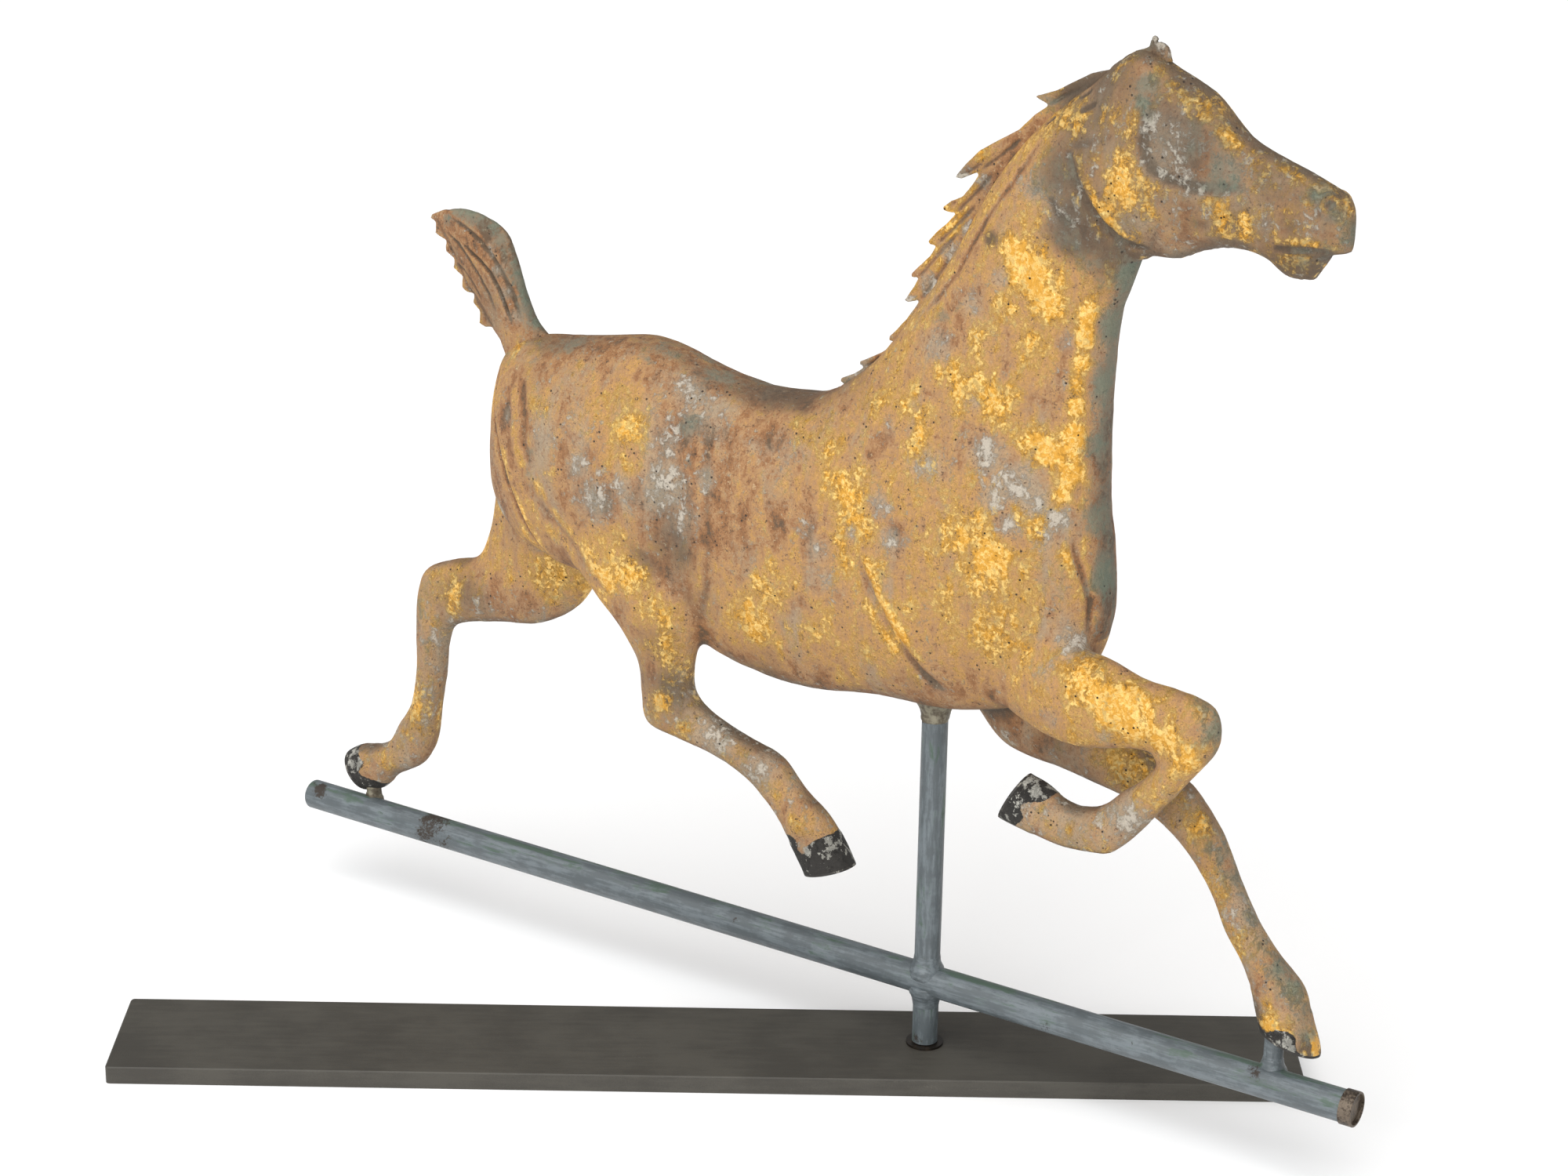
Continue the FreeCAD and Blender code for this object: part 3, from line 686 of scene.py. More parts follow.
def add(tree, kind, links, out=0, **settings):
    """Adds a node with its settings and its links, which are values, hex colours or other nodes'
    outputs, and gives one of its outputs."""
    made = tree.nodes.new("ShaderNode" + kind)
    for key, value in settings.items():
        setattr(made, key, value)
    for key, source in links.items():
        if isinstance(source, bpy.types.NodeSocket):
            tree.links.new(source, made.inputs[key])
        else:
            made.inputs[key].default_value = hexed(source) if isinstance(source, str) else source
    return made.outputs[out] if made.outputs else made


def material_named(name):
    """A new empty material, its tree, and the place on the piece that its patterns read."""
    made = bpy.data.materials.new(name)
    made.use_nodes = True
    made.node_tree.nodes.clear()
    return made, made.node_tree, add(made.node_tree, "TexCoord", {}, "Object")


def mixed(tree, base, *patterns):
    """A pattern with others added to it, each about its own middle and by its own weight."""
    for pattern, weight in patterns:
        centred = add(tree, "Math", {0: pattern, 1: weight, 2: -0.5 * weight}, operation="MULTIPLY_ADD")
        base = add(tree, "Math", {0: base, 1: centred})
    return base


def ragged(tree, low, high, base, *patterns):
    """Where a finish lies: mixed patterns with a soft edge, from none at low to all at high."""
    return add(tree, "MapRange", {"Value": mixed(tree, base, *patterns), "From Min": low, "From Max": high},
               interpolation_type="SMOOTHSTEP")


def coat(tree, under, colour, where, share=1.0):
    """Lays a colour over another where a finish lies, at most a share of it."""
    if share < 1:
        where = add(tree, "Math", {0: where, 1: share}, operation="MULTIPLY")
    return add(tree, "Mix", {0: where, 6: under, 7: colour}, 2, data_type="RGBA")


def surfaced(tree, height, deep, strength, links):
    """Ends a material with its relief, whose depth is in metres, and its surface."""
    relief = add(tree, "Bump", {"Height": height, "Distance": deep, "Strength": strength})
    add(tree, "OutputMaterial", {0: add(tree, "BsdfPrincipled", dict(links, Normal=relief))})


LEAF_BRIGHT, LEAF_PALE = "#E3A846", "#FFD886"
CHALK_GREY, CHALK_HAZE = "#BDB5A7", "#AD9E86"
SALT_GREEN, VERDIGRIS = "#757261", "#6D7968"
# The soot brown is laid both as real soot and as painted shade on the top, the underside and the hollows.
SOOT_AND_SHADE_BROWN, PINHOLE_BROWN = "#4F4335", "#3B3026"
# From dark stained copper, through brown and tan patina, to thin rubbed gold.
# Where gilding is taken off the top and the underside as painted shade, the colour falls to the dark end.
PATINA = [(0.0, "#604A34"), (0.2, "#8A5E38"), (0.36, "#9A6D44"), (0.48, "#A78058"), (0.6, "#B18553"),
          (0.72, "#C09254"), (0.86, "#D0A560")]
GREYED_PATINA, DARK_SPECK, PALE_SPECK = "#93826B", "#5A4531", "#C9B08A"
HOOF_BLACK, HOOF_RUBBED, SOLE_RUBBED = "#26231F", "#A3A198", "#8D8A80"

gilding, tree, spot = material_named("worn_gilding_on_copper")
(gilt, chalk, green), (soot_and_shade, hollow, paint) = (
    add(tree, "SeparateColor", {0: add(tree, "Attribute", {}, attribute_name=name)}).node.outputs
    for name in ("finish", "wear_and_shade"))
# Ragged clouds about 14 mm across, flecks of 3 mm, blotches of 40 mm, rubbed upright streaks, salts
# in patches of 7 mm and a grain of 1 mm.
upright = add(tree, "Mapping", {"Vector": spot, "Scale": (1.0, 1.0, 0.28)})
wiped = add(tree, "Mapping", {"Vector": spot, "Scale": (1.0, 1.0, 0.62)})
cloud, fleck, blotch, greyed, streak, salt, grain = (
    add(tree, "TexNoise",
        {"Vector": way, "Scale": scale, "Detail": detail, "Roughness": rough, "Distortion": bend})
    for way, scale, detail, rough, bend in (
        (wiped, 72.0, 9.0, 0.68, 0.35), (spot, 310.0, 6.0, 0.7, 0.6), (wiped, 24.0, 6.0, 0.6, 0.0),
        (upright, 38.0, 8.0, 0.62, 0.5), (upright, 120.0, 7.0, 0.65, 0.0), (spot, 150.0, 8.0, 0.72, 0.4),
        (spot, 950.0, 3.0, 0.7, 0.0)))
rubbed = mixed(tree, gilt, (cloud, 2.0), (blotch, 1.5), (streak, 1.2), (hollow, -0.7))
dull_leaf = ragged(tree, 0.10, 0.50, rubbed, (fleck, 1.8))
bright_leaf = ragged(tree, 0.38, 0.84, rubbed, (fleck, 1.8))
chalky = ragged(tree, 0.44, 0.90, chalk, (salt, 3.0), (fleck, 1.6), (streak, 1.8))
salted = ragged(tree, 0.30, 0.90, green, (cloud, 2.0), (fleck, 1.0), (salt, 1.0))
# Soot, which also carries the painted shade of the top, the underside and the hollows.
soot_and_shade_mask = ragged(tree, 0.12, 0.85, soot_and_shade, (blotch, 0.8), (cloud, 0.7))
hoof_paint = ragged(tree, 0.42, 0.52, paint, (cloud, 0.8), (fleck, 0.7))
tone = mixed(tree, rubbed, (fleck, 0.9), (grain, 0.7))
depth = add(tree, "MapRange", {"Value": tone, "From Min": -0.45, "From Max": 0.75})
patina = add(tree, "ValToRGB", {0: depth})
stops = patina.node.color_ramp.elements
for k, (position, colour) in enumerate(PATINA):
    stop = stops[k] if k < 2 else stops.new(position)
    stop.position = position
    stop.color = hexed(colour)
# Pinholes about 0.6 mm across, a few to the square centimetre.
holes = ragged(tree, 0.17, 0.10, add(tree, "TexVoronoi", {"Vector": spot, "Scale": 190.0}))
fewer = ragged(tree, 0.56, 0.62, add(tree, "TexNoise", {"Vector": spot, "Scale": 60.0, "Detail": 2.0}))
pinhole = add(tree, "Math", {0: holes, 1: fewer}, operation="MULTIPLY")
leaf = coat(tree, LEAF_BRIGHT, LEAF_PALE, ragged(tree, 0.42, 0.66, salt, (fleck, 1.2)))
salts = coat(tree, SALT_GREEN, VERDIGRIS, ragged(tree, 0.66, 1.15, green, (salt, 2.4)))
black = coat(tree, HOOF_BLACK, HOOF_RUBBED, ragged(tree, 0.57, 0.62, cloud, (salt, 1.2)))
speckled = (salt, (fleck, 1.0), (grain, 0.8))
ground = patina
for colour, where, share in (
        (GREYED_PATINA, ragged(tree, 0.50, 0.70, greyed, (fleck, 0.6)), 0.5),
        (CHALK_HAZE, ragged(tree, 0.12, 0.70, chalk, (greyed, 1.4), (fleck, 0.5)), 0.6),
        (DARK_SPECK, ragged(tree, 0.38, 0.20, *speckled), 1),
        (PALE_SPECK, ragged(tree, 0.64, 0.84, *speckled), 1),
        (SOOT_AND_SHADE_BROWN, soot_and_shade_mask, 0.85), (CHALK_GREY, chalky, 0.8), (leaf, bright_leaf, 1), (salts, salted, 0.8),
        (PINHOLE_BROWN, pinhole, 1), (black, hoof_paint, 1)):
    ground = coat(tree, ground, colour, where, share)
metal = add(tree, "Math", {0: dull_leaf, 1: 0.12}, operation="MULTIPLY")
metal = add(tree, "Math", {0: bright_leaf, 1: 0.75, 2: metal}, operation="MULTIPLY_ADD")
covered = add(tree, "Math", {0: salted, 1: hoof_paint}, operation="MAXIMUM")
metal = add(tree, "MapRange", {"Value": covered, "To Min": metal, "To Max": 0.0})
rough = add(tree, "MapRange", {"Value": bright_leaf, "To Min": 0.68, "To Max": 0.36})
relief = add(tree, "Math", {0: bright_leaf, 1: 0.35, 2: cloud}, operation="MULTIPLY_ADD")
relief = mixed(tree, relief, (fleck, 0.6), (grain, 0.25), (pinhole, -1.2), (chalky, 0.25))
surfaced(tree, relief, 0.0024, 0.95,
         {"Base Color": ground, "Metallic": metal, "Roughness": mixed(tree, rough, (fleck, 0.25))})

# Worn black paint over the hooves' sole plates, rubbed to grey copper in places.
sole_paint, tree, spot = material_named("worn_black_hoof_paint")
worn = add(tree, "TexNoise", {"Vector": spot, "Scale": 160.0, "Detail": 7.0, "Roughness": 0.7})
ground = coat(tree, HOOF_BLACK, SOLE_RUBBED, ragged(tree, 0.54, 0.62, worn))
surfaced(tree, worn, 0.0006, 0.8, {"Base Color": ground, "Roughness": 0.6})


def placed(piece, name, node, material, sharp=45):
    """Puts a finished piece on the vane: in metres, turned with the vane, and smooth."""
    piece.name = name
    piece.data.name = name
    piece.data.transform(Matrix.Rotation(VANE_YAW, 4, "Z") @ Matrix.Scale(MILLIMETRE, 4))
    picked(piece)
    bpy.ops.object.shade_smooth_by_angle(angle=math.radians(sharp))
    piece.data.materials.clear()
    piece.data.materials.append(material)
    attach(piece, "vane")
    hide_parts(node)


# Where each part's two halves meet: a point on the seam, and the way that its first half lies.
SEAMS = {
    "head": ((0, 0, 0), (0, 1, 0)),
    "body": ((0, 0, 0), (0, 1, 0)),
    "fore_right": ((0, -30, 0), (0, 1, 0)),
    "hind_right": ((0, -30, 0), (0, 1, 0)),
    "fore_left": ((103, 21, 0), (0.07, 1, 0)),
    "hind_left": ((-372, 22, 0), (0.08, 1, 0)),
}
for part, (where, facing) in SEAMS.items():
    sides = ("inner", "outer") if part.endswith("right") else ("outer", "inner")
    sides = ("left", "right") if part in ("head", "body") else sides
    for way, side in ((facing, sides[0]), (tuple(-f for f in facing), sides[1])):
        half = half_of(parts[part], where, way)
        placed(half, part + "_sheet_" + side, part + "_" + side, gilding)
    bpy.data.objects.remove(parts[part])
for leg in HOOVES:
    placed(parts["sole_" + leg], "sole_plate_" + leg, "sole_" + leg, sole_paint)

# ----------------------------------------
# The tail: two thin stamped halves, flat at the scalloped rear edge, with long chased locks.
# It is soldered to the croup at its root.
# ----------------------------------------
TAIL = [
    (-318, 470, -350, 430, 9, 0, 2.1),
    (-324, 474, -356, 446, 9, 0, 2.1),
    (-332, 482, -362, 461, 9, 0, 2.1),
    (-341, 500, -374, 478, 8.5, 0, 2.0),
    (-347, 520, -390, 497, 8, 0, 2.0),
    (-357, 541, -400, 514, 7, 0, 2.0),
    (-376, 550, -408, 527, 5.5, 0, 2.0),
    (-398, 552, -414, 536, 4, 0, 2.0),
    (-415, 547, -419, 541, 2, 0, 2.0),
]
TAIL_EDGE = [
    (-330, 470), (-341, 498), (-347, 518), (-358, 538), (-377, 548), (-398, 551), (-412, 549), (-423, 544),
    (-424, 541), (-419, 539), (-420, 531), (-416, 529), (-410, 527), (-411, 519), (-406, 516), (-403, 515),
    (-404, 508), (-400, 505), (-396, 503), (-397, 495), (-393, 492), (-386, 492), (-387, 485), (-381, 480),
    (-382, 471), (-377, 469), (-371, 470), (-364, 462), (-356, 452), (-346, 440),
]
TAIL_THICK = 2.8
TAIL_VOXEL = 0.95
TAIL_LOCKS = [
    ([(-392, 529), (-384, 524), (-375, 519), (-366, 512), (-358, 501), (-352, 489), (-347, 479)],
     dict(groove=2.0, reach=1.3, left=0.8, right=1.0, spread=4)),
    ([(-402, 545), (-390, 541), (-376, 534), (-364, 524), (-355, 512), (-346, 497), (-339, 480)],
     dict(groove=1.4, reach=1.6, left=1.4, spread=5)),
    ([(-410, 535), (-396, 528), (-386, 519), (-376, 508), (-367, 496), (-361, 484)],
     dict(groove=1.0, reach=1.4, left=0.7, spread=4)),
    ([(-403, 512), (-392, 509), (-382, 500), (-375, 490)], dict(groove=0.8, reach=1.5, left=0.5, spread=4)),
    ([(-392, 496), (-383, 492), (-374, 482), (-366, 474)], dict(groove=0.8, reach=1.5, left=0.5, spread=4)),
]


def plate(outline, thick):
    """A flat plate with the outline given as x and z, standing on the vane's middle plane."""
    picked()
    bpy.ops.mesh.primitive_circle_add(vertices=len(outline), radius=1, fill_type="NGON")
    piece = bpy.context.object
    for v, (x, z) in zip(piece.data.vertices, outline):
        v.co = (x, -thick / 2, z)
    opened(piece)
    bpy.ops.mesh.extrude_region_move(TRANSFORM_OT_translate={"value": (0, thick, 0)})
    closed_up()
    return piece


tail = joined(formed(TAIL), plate(TAIL_EDGE, TAIL_THICK))
skinned(tail, TAIL_VOXEL, 5)
dented(tail, "planishing", 0.6)
place, normal = points_of(tail)
# The locks are drawn flat, so the points are laid flat beside them to measure from.
flat = place * np.array([1, 0, 1])
moved = np.zeros(len(place))
for line, how in TAIL_LOCKS:
    mark = [(x, 0, z) for x, z in line]
    for face, hand in ((place[:, 1] < 0, how), (place[:, 1] > 0, other_hand(how))):
        moved += stroke(flat, normal, mark, **hand) * face * np.abs(normal[:, 1])
put_points(tail, place + normal * moved[:, None])
with_modifier(tail, "SMOOTH", factor=0.4, iterations=1)

STRIP = [(-398, 0, 551), (-385, 0, 549), (-367, 0, 543), (-357, 0, 531), (-348, 0, 512), (-341, 0, 496),
         (-328, 0, 474)]
GILT = [(-352, -8, 468, 12, 0.35), (-395, -4, 500, 8, 0.3), (-372, -6, 520, 8, 0.2)]
CHALK = [(-352, -8, 500, 6, 0.5), (-358, -8, 515, 6, 0.5), (-345, -8, 484, 6, 0.5), (-340, -8, 510, 6, 0.5),
         (-346, -8, 520, 5, 0.4), (-334, -8, 496, 5, 0.5), (-330, -8, 482, 5, 0.5), (-366, -8, 528, 6, 0.4)]
GREEN = [(-405, -4, 543, 7, 0.9), (-412, -3, 530, 6, 0.5), (-326, -6, 473, 8, 0.8), (-400, -4, 522, 6, 0.4)]
SOOT = [(-380, 0, 500, 60, 0.38), (-345, -6, 465, 20, 0.15)]
weathered(tail, base=-0.22)
# A strip of grey-green salts runs down the tail's front edge.
place, normal = points_of(tail)
gap = along_line(place, normal, STRIP)[0]
layer = tail.data.color_attributes["finish"].data
rows = np.empty(len(place) * 4)
layer.foreach_get("color", rows)
rows[2::4] = np.maximum(rows[2::4], 0.95 * np.clip(1.25 - gap / 11, 0, 1))
layer.foreach_set("color", rows)
for way, side in (((0, 1, 0), "left"), ((0, -1, 0), "right")):
    placed(half_of(tail, (0, 0, 0), way), "tail_sheet_" + side, "tail_" + side, gilding)
bpy.data.objects.remove(tail)

# ----------------------------------------
# The mane: one flat sheet of copper snipped into locks along its rear edge and soldered into the
# crest of the neck. The ears broke off long ago and left one torn stub of sheet at the poll.
# ----------------------------------------
MANE = [
    (112, 718), (96, 713), (84, 706), (72, 699), (62, 695), (56.5, 693), (60, 691.5), (67, 689),
    (58, 682), (47, 671), (34, 663), (20, 654), (10, 644), (2, 635), (1.5, 633), (6, 633), (20, 640),
    (14, 630), (8, 622), (0, 618), (-6, 613), (-6.5, 610.5), (0, 610), (4, 611), (-2, 604), (-10, 596),
    (-16, 589), (-15, 587), (-10, 587), (-15, 579), (-23, 571), (-28, 565), (-27, 563), (-22, 564),
    (-26, 557), (-31, 550), (-33.5, 546), (-30, 545.5), (-21, 549), (-31, 534), (-39, 525), (-44, 520),
    (-44, 517.5), (-38, 517), (-48, 509), (-60, 502), (-66, 499), (-66, 497), (-62, 496), (-70, 490),
    (-80, 485), (-80, 482.5), (-76, 481), (-90, 473), (-60, 468), (-20, 500), (10, 545), (40, 600),
    (80, 655), (112, 690),
]
MANE_THICK = 2.4
MANE_VOXEL = 0.85
# Each lock's lower edge is chased with one of two punches, or with a finer one.
DEEP_LOCK = dict(groove=1.0, reach=1.6, left=0.4, spread=4)
LOCK = dict(DEEP_LOCK, reach=1.5)
MANE_LOCKS = [
    ([(68, 689), (78, 696), (90, 703)], dict(groove=1.0, reach=1.5)),
    ([(60, 688), (68, 690), (80, 698)], dict(groove=0.6, reach=1.2)),
    ([(20, 641), (34, 652), (50, 666)], DEEP_LOCK),
    ([(8, 636), (22, 646), (34, 656)], dict(groove=0.7, reach=1.4)),
    ([(4, 611), (16, 624), (30, 640)], DEEP_LOCK),
    ([(-2, 613), (10, 625), (20, 636)], dict(groove=0.7, reach=1.4)),
    ([(-10, 587), (4, 602), (18, 618)], DEEP_LOCK),
    ([(-13, 590), (-4, 600), (6, 610)], dict(groove=0.7, reach=1.3)),
    ([(-22, 564), (-8, 582), (6, 598)], LOCK),
    ([(-21, 549), (-10, 564), (0, 580)], LOCK),
    ([(-38, 517), (-24, 532), (-12, 548)], LOCK),
    ([(-62, 496), (-46, 506), (-30, 520)], LOCK),
    ([(-76, 481), (-60, 490), (-46, 500)], dict(groove=0.8, reach=1.5)),
]
mane = plate(MANE, MANE_THICK)
skinned(mane, MANE_VOXEL, 3)
dented(mane, "planishing", 0.5)
place, normal = points_of(mane)
moved = np.zeros(len(place))
flat = place * np.array([1, 0, 1])
for line, how in MANE_LOCKS:
    mark = [(x, 0, z) for x, z in line]
    moved += stroke(flat, normal, mark, **how) * np.abs(normal[:, 1])
# The locks curl a little, the upper ones to the right and the lower ones to the left.
CREST = [(112, 0, 706), (70, 0, 684), (40, 0, 655), (10, 0, 610), (-14, 0, 560), (-40, 0, 512), (-84, 0, 474)]
gap = along_line(flat, normal, CREST)[0]
curl = 1.1 * np.sin(place[:, 2] * 0.22) * np.clip(gap / 14, 0, 1.5)
place = place + normal * moved[:, None]
place[:, 1] += curl
put_points(mane, place)
GILT = [(-4, -1, 606, 12, 0.7), (-12, -1, 580, 12, 0.5), (24, -1, 650, 10, 0.4), (-34, -1, 530, 10, 0.4),
        (10, -1, 620, 10, 0.4), (-24, -1, 556, 8, 0.4)]
CHALK = [(6, -1, 634, 8, 0.9), (14, -1, 600, 8, 0.6), (0, -1, 584, 8, 0.6), (-14, -1, 560, 8, 0.6),
         (-66, -1, 494, 10, 0.8), (-28, -1, 546, 5, 0.8), (24, -1, 634, 6, 0.6)]
GREEN = [(62, -1, 693, 12, 0.7), (4, -1, 634, 6, 0.7), (-78, -1, 483, 8, 0.8), (-26, -1, 566, 5, 0.6)]
SOOT = [(90, -1, 704, 26, 0.7), (20, -1, 640, 60, 0.35), (-40, -1, 520, 50, 0.35)]
weathered(mane, base=-0.16)
placed(mane, "mane_sheet", "mane_plate", gilding, 60)

EAR = [(122, 722), (125.5, 730.5), (131, 732.5), (134.8, 734.6), (136, 738), (137.6, 741.6), (139.6, 741),
       (140.9, 739.6), (140, 737.6), (142, 738.4), (144.2, 737.7), (147, 735.1), (150, 727)]
EAR_THICK, EAR_VOXEL = 3.2, 0.5
ear = plate(EAR, EAR_THICK)
skinned(ear, EAR_VOXEL, 2)
dented(ear, "pitting", 1.0)
place, normal = points_of(ear)
place[:, 1] += 2.0 * np.sin((place[:, 0] - 122) * 0.25) * np.clip((place[:, 2] - 730) / 8, 0, 1)
put_points(ear, place)
GILT, CHALK, GREEN, SOOT = [], [(140, 0, 738, 8, 0.5)], [(132, 0, 738, 12, 0.5)], [(134, 0, 742, 8, 0.5)]
weathered(ear)
placed(ear, "torn_ear_stub", "ear_stub", gilding, 60)

# ----------------------------------------
# The post and the bar: copper tube of 18 and 22 mm, brazed in a cross and painted blue-grey.
# The paint is brushed along the tubes and is stained green and brown where it has let go.
# ----------------------------------------
PAINT_GREY, PAINT_PALE, PAINT_RUBBED = "#50575A", "#687074", "#848C8E"
PAINT_GREEN, PAINT_BROWN = "#3C5140", "#322A23"


def aged_paint(name, stretch, tilt, patches):
    """Old brushed paint. The stretch lays its streaks, the tilt greens its upper side, and each
    patch is a place and a reach, in metres on the vane, where it has let go."""
    made, tree, spot = material_named(name)
    lined = add(tree, "Mapping", {"Vector": spot, "Rotation": (0, 0, -VANE_YAW)})
    brushed = add(tree, "Mapping", {"Vector": lined, "Scale": stretch})
    brush = add(tree, "TexNoise", {"Vector": brushed, "Scale": 420.0, "Detail": 6.0, "Roughness": 0.65})
    sweep = add(tree, "TexNoise",
                {"Vector": brushed, "Scale": 120.0, "Detail": 7.0, "Roughness": 0.7, "Distortion": 0.5})
    cloud = add(tree, "TexNoise", {"Vector": spot, "Scale": 45.0, "Detail": 9.0, "Roughness": 0.7})
    grit = add(tree, "TexNoise", {"Vector": spot, "Scale": 520.0, "Detail": 4.0, "Roughness": 0.7})
    upward = add(tree, "SeparateXYZ", {0: add(tree, "NewGeometry", {}, "Normal")}, "Z")
    browned = ragged(tree, 0.68, 0.76, cloud, (grit, 0.5))
    for centre, reach in patches:
        off = add(tree, "VectorMath", {0: lined, 1: centre}, "Value", operation="DISTANCE")
        near = add(tree, "MapRange", {"Value": off, "From Max": reach, "To Min": 0.36, "To Max": 0.0})
        patch = ragged(tree, 0.68, 0.80, add(tree, "Math", {0: cloud, 1: near}), (grit, 0.5))
        browned = add(tree, "Math", {0: browned, 1: patch}, operation="MAXIMUM")
    greened = ragged(tree, 0.54, 0.68, sweep, (cloud, 0.7), (upward, tilt))
    ground = coat(tree, PAINT_GREY, PAINT_PALE, ragged(tree, 0.38, 0.66, brush, (cloud, 1.0)))
    ground = coat(tree, ground, PAINT_GREEN, greened, 0.8)
    ground = coat(tree, ground, PAINT_BROWN, browned)
    ground = coat(tree, ground, PAINT_RUBBED, ragged(tree, 0.80, 0.86, brush, (grit, 0.9)))
    rough = add(tree, "MapRange", {"Value": browned, "To Min": 0.42, "To Max": 0.7})
    surfaced(tree, mixed(tree, brush, (grit, 0.8), (browned, -0.6)), 0.0004, 0.7,
             {"Base Color": ground, "Roughness": mixed(tree, rough, (cloud, 0.3))})
    return made


def dressed(name, material):
    """Gives a finished metal part its real surface."""
    slots = nodes[name].material_slots
    if not slots:
        nodes[name].data.materials.append(material)
    for slot in slots:
        slot.material = material


bar_paint = aged_paint("brushed_grey_paint_on_bar", (0.09, 1.0, 1.0), 0.12, [
    ((-0.432, -0.009, 0.066), 0.030), ((-0.416, -0.010, 0.060), 0.016), ((-0.540, -0.006, 0.070), 0.014),
    ((-0.155, -0.009, 0.068), 0.007), ((0.255, -0.006, 0.070), 0.010)])
post_paint = aged_paint("brushed_grey_paint_on_post", (1.0, 1.0, 0.12), 0.0, [
    ((0.0, -0.008, 0.018), 0.010), ((-0.004, -0.008, 0.262), 0.010)])
dressed("bar_tube", bar_paint)
dressed("bar_rear_cap", bar_paint)
dressed("post_tube", post_paint)

# The brazing spreads in a hollow fillet round the crossing, a little lumpy under the paint.
# Radii of the fillet, and heights from the bar's middle.
BAR_HEIGHT = 62
TURNED_SIDES = 64
FILLET = [(12.6, 3.0), (12.4, 6.0), (12.0, 9.0), (10.8, 11.6), (9.8, 14.0), (9.35, 17.0), (9.1, 20.0)]


def turned_form(profile, x, y, z=0.0, up=1.0):
    """A round form about an upright axis, from radii and heights: a disc extruded and scaled."""
    picked()
    radius, height = profile[0]
    bpy.ops.mesh.primitive_circle_add(vertices=TURNED_SIDES, radius=radius, fill_type="NGON",
                                      location=(x, y, z + up * height))
    piece = bpy.context.object
    bpy.ops.object.transform_apply(location=True, rotation=False, scale=False)
    opened(piece)
    for (r0, h0), (r1, h1) in zip(profile, profile[1:]):
        bpy.ops.mesh.extrude_region_move(TRANSFORM_OT_translate={"value": (0, 0, up * (h1 - h0))})
        share = r1 / r0
        bpy.ops.transform.resize(value=(share, share, 1), center_override=(x, y, z + up * h1))
    closed_up()
    return piece


def blobbed(piece, voxel, lumps, lump_size):
    """Melts a form into solder: one skin, softened and a little lumpy."""
    skinned(piece, voxel, 3)
    lump = bpy.data.textures.new("lumps", "CLOUDS")
    lump.noise_scale = lump_size
    dented(piece, lump.name, lumps)


for up, where in ((1, "top"), (-1, "bottom")):
    fillet = turned_form(FILLET, 0, 0, BAR_HEIGHT, up)
    blobbed(fillet, 0.9, 0.8, 5.0)
    placed(fillet, "braze_fillet_" + where, "bar_braze_" + where, bar_paint, 60)

# ----------------------------------------
# Soft solder: a collar where the post enters the belly, and a lump that fixes the rear hoof
# to the bar. It is dull grey-brown, run by hand and never dressed.
# ----------------------------------------
SOLDER_BROWN, SOLDER_GREY = "#5C5345", "#8C8673"
solder, tree, spot = material_named("dull_soft_solder")
skin = add(tree, "TexNoise", {"Vector": spot, "Scale": 160.0, "Detail": 8.0, "Roughness": 0.7})
ground = coat(tree, SOLDER_BROWN, SOLDER_GREY, ragged(tree, 0.42, 0.62, skin))
surfaced(tree, skin, 0.0009, 0.8, {"Base Color": ground, "Metallic": 0.35, "Roughness": 0.58})
COLLAR = [(9.4, 258), (9.8, 262), (10.8, 266), (12.2, 270), (14.5, 274), (18.0, 277)]
HEEL = [(8.0, 66), (7.4, 70), (6.2, 73), (5.6, 76), (5.8, 79), (6.4, 83)]
HEEL_X, HEEL_Y = -497, 6
collar = turned_form(COLLAR, 0, 0)
blobbed(collar, 0.9, 1.8, 6.0)
placed(collar, "belly_solder_collar", "belly_collar", solder, 60)
heel = turned_form(HEEL, HEEL_X, HEEL_Y)
blobbed(heel, 0.7, 2.0, 4.0)
placed(heel, "heel_solder_lump", "heel_solder", solder, 60)

# ----------------------------------------
# The stub under the front hoof: a short piece of thin sheet tube, split up its side, brazed to
# the bar at its foot and painted with it.
# ----------------------------------------
STUB_X, STUB_Y = 261, 5
SLIT_TURN = math.radians(-62)
stub = copied(nodes["hoof_stub"])
opened(stub)
bpy.ops.mesh.remove_doubles(threshold=0.00001)
bpy.ops.object.mode_set(mode="OBJECT")
stub.data.transform(Matrix.Scale(1 / MILLIMETRE, 4) @ Matrix.Rotation(-VANE_YAW, 4, "Z"))
stub.data.transform(Matrix.Translation((STUB_X, STUB_Y, 0)) @ Matrix.Rotation(SLIT_TURN, 4, "Z")
                    @ Matrix.Translation((-STUB_X, -STUB_Y, 0)))
# The heel is lifted, so the tube's upper end runs on into it.
STUB_MIDDLE_Z, STUB_RUNS_ON = 80, 12
for v in stub.data.vertices:
    v.co.z += STUB_RUNS_ON * (v.co.z > STUB_MIDDLE_Z)
FOOT = [(10.2, 67.5), (9.8, 70.5), (8.4, 73.0), (7.5, 75.5), (7.0, 78.0), (6.2, 80.0)]
foot = turned_form(FOOT, STUB_X, STUB_Y)
blobbed(foot, 0.6, 0.6, 4.0)
placed(joined(stub, foot), "split_hoof_stub", "hoof_stub", bar_paint, 40)

